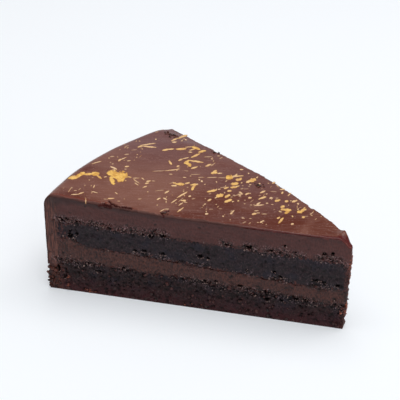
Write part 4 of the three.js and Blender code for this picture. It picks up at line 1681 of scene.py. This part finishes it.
@dataclass
class GoldLeaf:
    """Gold flicked over the top with a brush: the strokes and the fine specks between them.

    A fine sheet over the whole top is kept only where gold covers it, and its outline is drawn
    in to the gold's edge.
    """

    cell: float = 0.16
    low: tuple[float, float] = (-139.0, -42.0)
    high: tuple[float, float] = (-30.0, 42.0)
    thickness: float = 0.06
    sunk: float = 0.12
    slim_from: float = 2.6
    specks: int = 150
    speck_s: tuple[float, float] = (16.0, 117.0)
    speck_v: tuple[float, float] = (0.06, 0.96)
    seed: int = 20
    finish: GoldFinish = GoldFinish()

    def build(self) -> bpy.types.Object:
        """Makes all the gold as one joined piece.

        Returns:
            The finished piece.
        """
        strokes = [*BLOTS, *LEFT_FLICKS, *FAR_FLICKS, *MIDDLE_FLICKS, *TIP_FLICKS, *self.scattered()]
        wide, deep = self.high[0] - self.low[0], self.high[1] - self.low[1]
        columns, rows = round(wide / self.cell), round(deep / self.cell)
        shape = bmesh.new()
        bmesh.ops.create_grid(shape, x_segments=columns, y_segments=rows, size=0.5)
        bmesh.ops.translate(shape, verts=shape.verts, vec=(0.5, 0.5, 0))
        bmesh.ops.scale(shape, verts=shape.verts, vec=(wide, deep, 1))
        bmesh.ops.translate(shape, verts=shape.verts, vec=(*self.low, 0))
        shape.verts.index_update()
        cover, _ = self.cover(*np.array([vert.co[:2] for vert in shape.verts]).T, strokes)
        bare = [face for face in shape.faces if sum(cover[vert.index] for vert in face.verts) < 0]
        bmesh.ops.delete(shape, geom=bare, context="FACES")
        rim = np.array([vert.is_boundary for vert in shape.verts])
        x, y = np.array([vert.co[:2] for vert in shape.verts]).T
        x[rim], y[rim] = self.drawn_in(x[rim], y[rim], strokes)
        for vert, *place in zip(shape.verts, x, y):
            vert.co = (*place, 0.0)
        under = shape.faces[:]
        upper = bmesh.ops.extrude_face_region(shape, geom=under, use_keep_orig=True)["geom"]
        raised = [part for part in upper if isinstance(part, bmesh.types.BMVert)]
        bmesh.ops.translate(shape, verts=raised, vec=(0, 0, 1))
        bmesh.ops.reverse_faces(shape, faces=under)
        mesh = as_mesh(shape, "gold_leaf")
        self.lay(mesh, strokes)
        made = piece("gold_leaf", mesh, self.finish.build(), sharp=50.0)
        return made

    def cover(self, x: Array, y: Array, strokes: list[Stroke]) -> tuple[Array, Array]:
        """Finds where gold lies.

        Args:
            x: Places on the plan, from the point where the two cuts would meet.
            y: Places on the plan.
            strokes: The strokes and specks.

        Returns:
            A number above 0 where gold lies, growing away from its edge, and how thin it is.
        """
        ragged = 0.55 * grain(x, y, 5) + 0.45 * grain(x / 0.45, y / 0.45, 6, 2)
        column, row = VIEW.seen_on_top(*FORM.place(x, y))
        best = np.full(x.shape, -1.0)
        thin = np.zeros(x.shape)
        for stroke in strokes:
            inside = self.bite(column, row, stroke, ragged)
            wins = inside > best
            best[wins] = inside[wins]
            thin[wins] = stroke.thin
        for spot in BARE_SPOTS:
            best = np.minimum(best, -self.bite(column, row, spot, ragged))
        return best, thin

    def bite(self, column: Array, row: Array, stroke: Stroke, ragged: Array) -> Array:
        """Gives how far inside one stroke each place is.

        Args:
            column, row: Places in the picture.
            stroke: The stroke.
            ragged: Unevenness of every outline.

        Returns:
            Above 0 inside the stroke, at most 1, and -1 well away from it.
        """
        inside = np.full(column.shape, -1.0)
        dx, dy = column - 0.5 * (stroke.x0 + stroke.x1), row - 0.5 * (stroke.y0 + stroke.y1)
        length = math.hypot(stroke.x1 - stroke.x0, stroke.y1 - stroke.y0)
        reach = 0.6 * length + 0.8 * stroke.width
        close = np.flatnonzero((np.abs(dx) < reach) & (np.abs(dy) < reach))
        way_x, way_y = (stroke.x1 - stroke.x0) / length, (stroke.y1 - stroke.y0) / length
        along = (dx[close] * way_x + dy[close] * way_y) / (0.5 * length)
        across = (dy[close] * way_x - dx[close] * way_y) / (0.48 * stroke.width)
        slim = length > self.slim_from * stroke.width
        taper = np.clip(1 - np.abs(along) ** (1.6 if slim else 2.6), 0, 1) ** 0.5
        held = taper - np.abs(across) + 2 * np.minimum(0, 1 - np.abs(along))
        inside[close] = held + (0.5 if slim else 0.75) * ragged[close]
        return inside

    def drawn_in(self, x: Array, y: Array, strokes: list[Stroke]) -> tuple[Array, Array]:
        """Moves places at the rim of the sheet onto the gold's edge.

        Args:
            x, y: Places on the plan.
            strokes: The strokes and specks.

        Returns:
            The moved places.
        """
        step = 0.25 * self.cell
        here, _ = self.cover(x, y, strokes)
        slope_x = (self.cover(x + step, y, strokes)[0] - here) / step
        slope_y = (self.cover(x, y + step, strokes)[0] - here) / step
        reach = -here / np.maximum(slope_x**2 + slope_y**2, 1e-6)
        move = np.stack([reach * slope_x, reach * slope_y])
        size = np.maximum(np.hypot(*move), 1e-9)
        move = move * np.minimum(1, 0.6 * self.cell / size)
        return x + move[0], y + move[1]

    def scattered(self) -> list[Stroke]:
        """Draws the fine specks: many over the middle and the far half, few near the near cut.

        Returns:
            The specks, most of them along the two ways in which the brush was flicked.
        """
        random = np.random.default_rng(self.seed)
        found: list[Stroke] = []
        while len(found) < self.specks:
            s = random.uniform(*self.speck_s)
            v = random.uniform(*self.speck_v)
            crowd = 0.5 + 0.5 * float(unevenness(s / 9, v * 4, 55))
            if random.uniform() > crowd * min(1.0, 0.25 + 1.2 * v) or s < 32 - 20 * v:
                continue
            column, row = VIEW.seen_on_top(np.array(s), np.array(v))
            length = random.choice([1.6, 2.4, 3.6, 6.0], p=[0.4, 0.3, 0.2, 0.1]) * random.uniform(0.8, 1.25)
            turn = math.radians(random.normal(4, 7) if random.uniform() < 0.7 else random.normal(38, 14))
            half_x, half_y = 0.5 * length * math.cos(turn), -0.5 * length * math.sin(turn)
            ends = (column - half_x, row - half_y, column + half_x, row + half_y)
            found.append(Stroke(*map(float, ends), random.uniform(0.8, 1.15), random.uniform(0.5, 0.95)))
        return found

    def lay(self, mesh: bpy.types.Mesh, strokes: list[Stroke]) -> None:
        """Lays the cut-out sheet on the glaze and marks where it is thin and where its edge is worn.

        Args:
            mesh: The cut-out sheet at height 0 and its raised copy at height 1, on the plan.
            strokes: The strokes and specks.
        """
        x, y, raised = corners_of(mesh).T
        cover, thin = self.cover(x, y, strokes)
        s, v = FORM.place(x, y)
        top = FORM.seam_height(TOP, s, v) + glaze_swell(s, v) - rim_drop(s)
        bulge = 0.02 + self.thickness * (1 - 0.7 * thin) * (0.3 + 0.7 * ease(cover, 0, 0.5))
        z = top + np.where(raised > 0.5, bulge, -self.sunk)
        move_corners(mesh, np.stack([x + FORM.apex_x, y, z], axis=-1) * MM)
        mark(mesh, "thin", thin)
        mark(mesh, "worn_edge", 1 - ease(cover, 0.0, 0.25))


@dataclass
class Crumbs:
    """Loose crumbs of one food, made from a few lumpy masters and joined into one piece."""

    name: str
    slot: str
    finish: CrumbFinish
    seed: int
    masters: int = 8
    radius: float = 0.52
    dent: float = 0.45

    def lump(self, random: np.random.Generator) -> tuple[Array, Array]:
        """Makes one lumpy crumb about one unit across.

        Args:
            random: Source of its unevenness.

        Returns:
            Its points and its faces.
        """
        shape = bmesh.new()
        bmesh.ops.create_cube(shape, size=1.0)
        bmesh.ops.subdivide_edges(shape, edges=shape.edges, cuts=1, use_grid_fill=True)
        phase = random.uniform(0, 100)
        for vert in shape.verts:
            vert.co = self.radius * vert.co.normalized()
            dent = float(unevenness(phase + 2.6 * vert.co.x, 2.6 * vert.co.y + 2.1 * vert.co.z, 9))
            vert.co *= 1 + self.dent * dent
        points = np.array([vert.co[:] for vert in shape.verts])
        faces = np.array([[vert.index for vert in face.verts] for face in shape.faces])
        shape.free()
        return points, faces

    def build(self, places: Array, sizes: Array) -> bpy.types.Object:
        """Scatters the crumbs.

        Args:
            places: One row of x, y and z in millimetres for each crumb.
            sizes: The crumbs' sizes in millimetres.

        Returns:
            The finished piece.
        """
        random = np.random.default_rng(self.seed)
        masters = [self.lump(random) for _ in range(self.masters)]
        points, faces, tones, start = [], [], [], 0
        for place, size in zip(places, sizes):
            lump, sides = masters[random.integers(self.masters)]
            spin, _ = np.linalg.qr(random.normal(size=(3, 3)))
            spin = spin * np.sign(np.linalg.det(spin))
            stretch = random.uniform(0.7, 1.25, 3)
            points.append((lump * stretch) @ spin.T * size + place)
            faces.append(sides + start)
            tones.append(np.full(len(lump), random.uniform()))
            start += len(lump)
        mesh = bpy.data.meshes.new(self.name)
        mesh.from_pydata((np.concatenate(points) * MM).tolist(), [], np.concatenate(faces).tolist())
        mark(mesh, "tone", np.concatenate(tones))
        made = piece(self.name, mesh, self.finish.build(), sharp=80.0)
        return made


def on_the_cuts(s: Array, v: Array, z: Array, sizes: Array, proud: float) -> Array:
    """Sets crumbs on the relief of the two cuts.

    Args:
        s: Distance from the tip.
        v: 0 on the near cut and 1 on the far cut.
        z: Height.
        sizes: The crumbs' sizes.
        proud: Share of each crumb that stands out.

    Returns:
        Places in millimetres.
    """
    s = np.maximum(s, FORM.tip_start(z) + 0.4 * sizes)
    relief, _, _ = RELIEF.height(FUDGE_TEXTURE, RELIEF.run_on_cut(s, v), s, v, z)
    out = relief + (proud - 0.5) * sizes
    return FORM.points(s, v, z, np.where(v < 0.5, -out, out)) / MM


def cut_crumbs(random: np.random.Generator, count: int) -> tuple[Array, Array]:
    """Places sponge crumbs on the cuts, most of them along the seams and near the base.

    Args:
        random: Source of the draws.
        count: Number of crumbs.

    Returns:
        Places and sizes in millimetres.
    """
    s = random.uniform(0.5, FORM.length - 1, count)
    v = random.choice([0.0, 1.0], count)
    seams = [UPPER_TOP, FILLING_TOP, LOWER_TOP, BASE]
    pick = random.choice(4, count, p=[0.16, 0.14, 0.25, 0.45])
    z = np.select([pick == k for k in range(4)], [FORM.seam_height(seam, s, v) for seam in seams])
    z = np.where(pick == 3, 10 * random.uniform(0.03, 1, count) ** 1.4, z + random.normal(-0.3, 0.7, count))
    sizes = random.choice([0.5, 0.75, 1.0, 1.35], count, p=[0.35, 0.35, 0.22, 0.08])
    z = np.maximum(z, CLEAR_OF_TABLE * sizes)
    return on_the_cuts(s, v, z, sizes, 0.45), sizes


def seam_shards(random: np.random.Generator, count: int) -> tuple[Array, Array]:
    """Places shards of ganache where the knife tore the seams.

    Args:
        random: Source of the draws.
        count: Number of places that are tried on each tear.

    Returns:
        Places and sizes in millimetres.
    """
    found = []
    for tear in TEARS:
        s = random.uniform(1, FORM.length - 5, count)
        v = random.choice([0.0, 1.0], count)
        z = FORM.seam_height(tear.seam, s, v) + tear.shift + random.normal(0, 0.55 * tear.spread, count)
        torn = tear.patch(RELIEF.run_on_cut(s, v))
        kept = random.uniform(0, 1, count) < 0.08 + 0.92 * torn
        found.append(np.stack([s, v, z])[:, kept])
    found.append(np.concatenate([under_hole(random, hole) for hole in HOLES], axis=1))
    s, v, z = np.concatenate(found, axis=1)
    sizes = random.choice([0.25, 0.35, 0.5, 0.7], len(s), p=[0.4, 0.36, 0.19, 0.05])
    return on_the_cuts(s, v, z, sizes, 0.7), sizes


def under_hole(random: np.random.Generator, hole: Hole) -> Array:
    """Places shards around a hole in the near cut, most of them on its lower rim, where light from above
    falls; their pale tone is partly a painted glint.

    Args:
        random: Source of the draws.
        hole: The hole.

    Returns:
        Rows of s, v and z.
    """
    count = 3 + round(1.5 * hole.length)
    angle = random.normal(-math.pi / 2, 1.0, count)
    s = hole.s + np.cos(angle) * (0.45 * hole.length + random.uniform(0, 0.3, count))
    z = hole.z + np.sin(angle) * (0.45 * hole.height + random.uniform(0, 0.3, count))
    return np.stack([s, np.zeros(count), z])


def foot_crumbs(random: np.random.Generator, count: int) -> tuple[Array, Array]:
    """Places crumbs on the foot of the outer side and on the ends of it that the cuts show.

    Args:
        random: Source of the draws.
        count: Number of crumbs.

    Returns:
        Places and sizes in millimetres.
    """
    v = np.clip(random.uniform(-0.03, 1.03, count), 0.0, 1.0)
    z = FORM.foot_ledge * random.uniform(0.02, 1.12, count) ** 1.1
    sizes = random.choice([0.6, 0.85, 1.15, 1.5], count, p=[0.35, 0.35, 0.22, 0.08])
    sizes = sizes * random.uniform(0.8, 1.2, count)
    z = np.maximum(z, CLEAR_OF_TABLE * sizes)
    at_end = (v == 0.0) | (v == 1.0)
    on_end = FORM.length - FORM.coat * random.uniform(0, 1, count)
    s = np.where(at_end, on_end, FORM.length - 0.45 + 0.1 * sizes)
    return FORM.points(s, v, z) / MM, sizes


@dataclass(frozen=True)
class Fall:
    """Crumbs that fell on the glaze: their middle and spread on the plan, and their number."""

    x: float
    y: float
    spread: float
    number: int


TOP_FALLS = (Fall(-68.4, 14.5, 1.3, 12), Fall(-123.8, 33.6, 2.6, 26), Fall(-101.3, 30.9, 1.1, 6),
             Fall(-87.3, -26.1, 0.8, 9))


def top_crumbs(random: np.random.Generator) -> tuple[Array, Array]:
    """Places the few dark crumbs that fell on the glaze, in small clusters on the plan.

    Args:
        random: Source of the draws.

    Returns:
        Places and sizes in millimetres.
    """
    places, sizes = [], []
    for fall in TOP_FALLS:
        for _ in range(fall.number):
            place_x, place_y = random.normal((fall.x, fall.y), (fall.spread, 0.45 * fall.spread))
            s, v = FORM.place(np.array(place_x), np.array(place_y))
            size = random.uniform(0.4, 1.0)
            s, v = np.clip(s, 0.5, FORM.length - 2.5), np.clip(v, 0.01, 0.99)
            z = FORM.seam_height(TOP, s, v) + glaze_swell(s, v) - rim_drop(s) + 0.1 * size
            places.append(FORM.points(s, v, z) / MM)
            sizes.append(size)
    return np.array(places), np.array(sizes)


@dataclass(frozen=True)
class Cluster:
    """Red-brown crumbs that cling to the near cut: their middle, extent and number."""

    s: float
    z: float
    length: float
    height: float
    number: int


RED_CLUSTERS = (Cluster(111.6, 4.0, 1.6, 5.0, 12), Cluster(102.5, 1.0, 4.6, 1.4, 16),
                Cluster(1.9, 8.0, 2.4, 2.6, 12), Cluster(60.0, 1.2, 9.0, 1.6, 5))


def red_crumbs(random: np.random.Generator, count: int) -> tuple[Array, Array]:
    """Places red-brown crumbs down the narrow tip, and the few clusters of them on the near cut.

    Args:
        random: Source of the draws.
        count: Number of crumbs on the tip.

    Returns:
        Places and sizes in millimetres.
    """
    v = random.uniform(0.0, 1.0, count)
    band = random.choice(3, count, p=[0.35, 0.35, 0.3])
    z = np.select([band == 0, band == 1], [random.normal(8.4, 1.2, count), random.normal(28.0, 2.0, count)],
                  random.uniform(5.0, 33.0, count))
    z = np.clip(z, 4.0, 33.0)
    sizes = random.uniform(0.35, 0.85, count)
    s = FORM.tip_start(z) + random.uniform(-0.15, 0.4, count)
    places = [FORM.points(s, v, z) / MM]
    for cluster in RED_CLUSTERS:
        own = random.uniform(0.35, 0.75, cluster.number)
        s = cluster.s + 0.5 * cluster.length * random.uniform(-1, 1, cluster.number)
        z = cluster.z + 0.5 * cluster.height * random.uniform(-1, 1, cluster.number)
        z = np.maximum(z, CLEAR_OF_TABLE * own)
        places.append(on_the_cuts(s, np.zeros(cluster.number), z, own, 0.5))
        sizes = np.concatenate([sizes, own])
    return np.concatenate(places), sizes


@dataclass(frozen=True)
class Lamp:
    """A soft lamp, aimed at the middle of the slice. Its place is in metres."""

    name: str
    place: tuple[float, float, float]
    size: float
    power: float
    colour: str


@dataclass
class Studio:
    """White table, soft light and the camera."""

    view: View = VIEW
    world: float = 0.22
    table: float = 30.0
    lamps: tuple[Lamp, ...] = (
        Lamp("overhead_softbox", (0.0, 0.12, 1.3), 1.4, 14.6, "#ffffff"),
        Lamp("front_softbox", (0.9, -0.9, 1.0), 1.2, 6.6, "#fbfdff"),
        Lamp("back_softbox", (0.8, 1.0, 1.2), 1.2, 5.0, "#ffffff"),
        Lamp("left_card", (-1.05, 1.25, 0.45), 0.8, 0.5, "#f6f4ff"),
    )

    def build(self) -> None:
        """Sets up table, lamps, surroundings and camera."""
        shape = bmesh.new()
        bmesh.ops.create_grid(shape, x_segments=1, y_segments=1, size=self.table / 2)
        mesh = as_mesh(shape, "table_top")
        mesh.materials.append(TableFinish().build())
        table = bpy.data.objects.new("table_top", mesh)
        bpy.context.scene.collection.objects.link(table)
        for lamp in self.lamps:
            self.add_lamp(lamp)
        self.surround()
        self.add_camera()

    def add_lamp(self, lamp: Lamp) -> None:
        """Adds one square soft lamp.

        Args:
            lamp: The lamp.
        """
        light = bpy.data.lights.new(lamp.name, "AREA")
        light.size = lamp.size
        light.energy = lamp.power
        light.color = linear(lamp.colour)[:3]
        held = bpy.data.objects.new(lamp.name, light)
        held.location = lamp.place
        held.rotation_euler = (-Vector(lamp.place)).to_track_quat("-Z", "Y").to_euler()
        bpy.context.scene.collection.objects.link(held)

    def surround(self) -> None:
        """Puts the slice in an even white room."""
        world = bpy.data.worlds.new("white_room")
        world.use_nodes = True
        world.node_tree.nodes.clear()
        glow = add(world.node_tree, "Background", {"Color": "#fafcff", "Strength": self.world})
        add(world.node_tree, "OutputWorld", {"Surface": glow})
        bpy.context.scene.world = world
        bpy.context.scene.view_settings.view_transform = "Standard"

    def add_camera(self) -> None:
        """Adds the camera."""
        lens = bpy.data.cameras.new("camera")
        lens.lens = self.view.lens
        lens.sensor_width = self.view.sensor
        lens.clip_start = 0.01
        held = bpy.data.objects.new("camera", lens)
        held.location = Vector(self.view.eye) * MM
        held.rotation_euler = Vector(self.view.look).to_track_quat("-Z", "Y").to_euler()
        bpy.context.scene.collection.objects.link(held)
        bpy.context.scene.camera = held


LOWER_SPONGE_FINISH = SpongeFinish("moist_chocolate_sponge_lower", "#110809", "#33191b", "#40161a", 8.0)
UPPER_SPONGE_FINISH = SpongeFinish("moist_chocolate_sponge_upper", "#150c10", "#2d1d23", "#2d1d23", 1.0)
FILLING_FINISH = GanacheFinish("cut_ganache_filling", "#220f10", "#593128", 0.7)
SPONGE_CRUMB = CrumbFinish("loose_sponge_crumb", "#170b0c", "#4a2320", 0.6)
FOOT_CRUMB = CrumbFinish("pressed_foot_crumb", "#1c0c0b", "#5c2a1c", 0.6)
# The torn shards' pale tone is partly a painted glint, lighter than the ganache they came from.
GANACHE_SHARD = CrumbFinish("torn_ganache_shard", "#352020", "#8e736c", 0.3)
RED_CRUMB = CrumbFinish("red_brown_crumb", "#421814", "#9a5037", 0.5)
DARK_CRUMB = CrumbFinish("dark_crumb_on_glaze", "#1c0c09", "#5a2c1e", 0.45)


def main() -> None:
    """Builds and dresses the slice."""
    logging.basicConfig(level=logging.INFO, format="%(name)s: %(message)s")
    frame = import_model()
    LOG.info("the packed part has the nodes %s", sorted(frame["nodes"]))
    Layer("lower_sponge", BASE, LOWER_TOP, SPONGE_TEXTURE, LOWER_SPONGE_FINISH, 48).build()
    Layer("filling", LOWER_TOP, FILLING_TOP, GANACHE_TEXTURE, FILLING_FINISH, 26,
          under_lap=0.0, sunk=0.0, ragged=1.0, smear_reach=0.8).build()
    Layer("upper_sponge", FILLING_TOP, UPPER_TOP, FUDGE_TEXTURE, UPPER_SPONGE_FINISH, 38).build()
    Coat().build()
    Glaze().build()
    GoldLeaf().build()
    random = np.random.default_rng(7)
    Crumbs("sponge_crumbs", "lower_sponge", SPONGE_CRUMB, 31).build(*cut_crumbs(random, 620))
    Crumbs("ganache_shards", "ganache_coat", GANACHE_SHARD, 37).build(*seam_shards(random, 620))
    Crumbs("foot_crumbs", "lower_sponge", FOOT_CRUMB, 33).build(*foot_crumbs(random, 900))
    Crumbs("top_crumbs", "upper_sponge", DARK_CRUMB, 39).build(*top_crumbs(random))
    Crumbs("red_crumbs", "lower_sponge", RED_CRUMB, 41).build(*red_crumbs(random, 150))
    Studio().build()


if __name__ == "__main__":
    main()
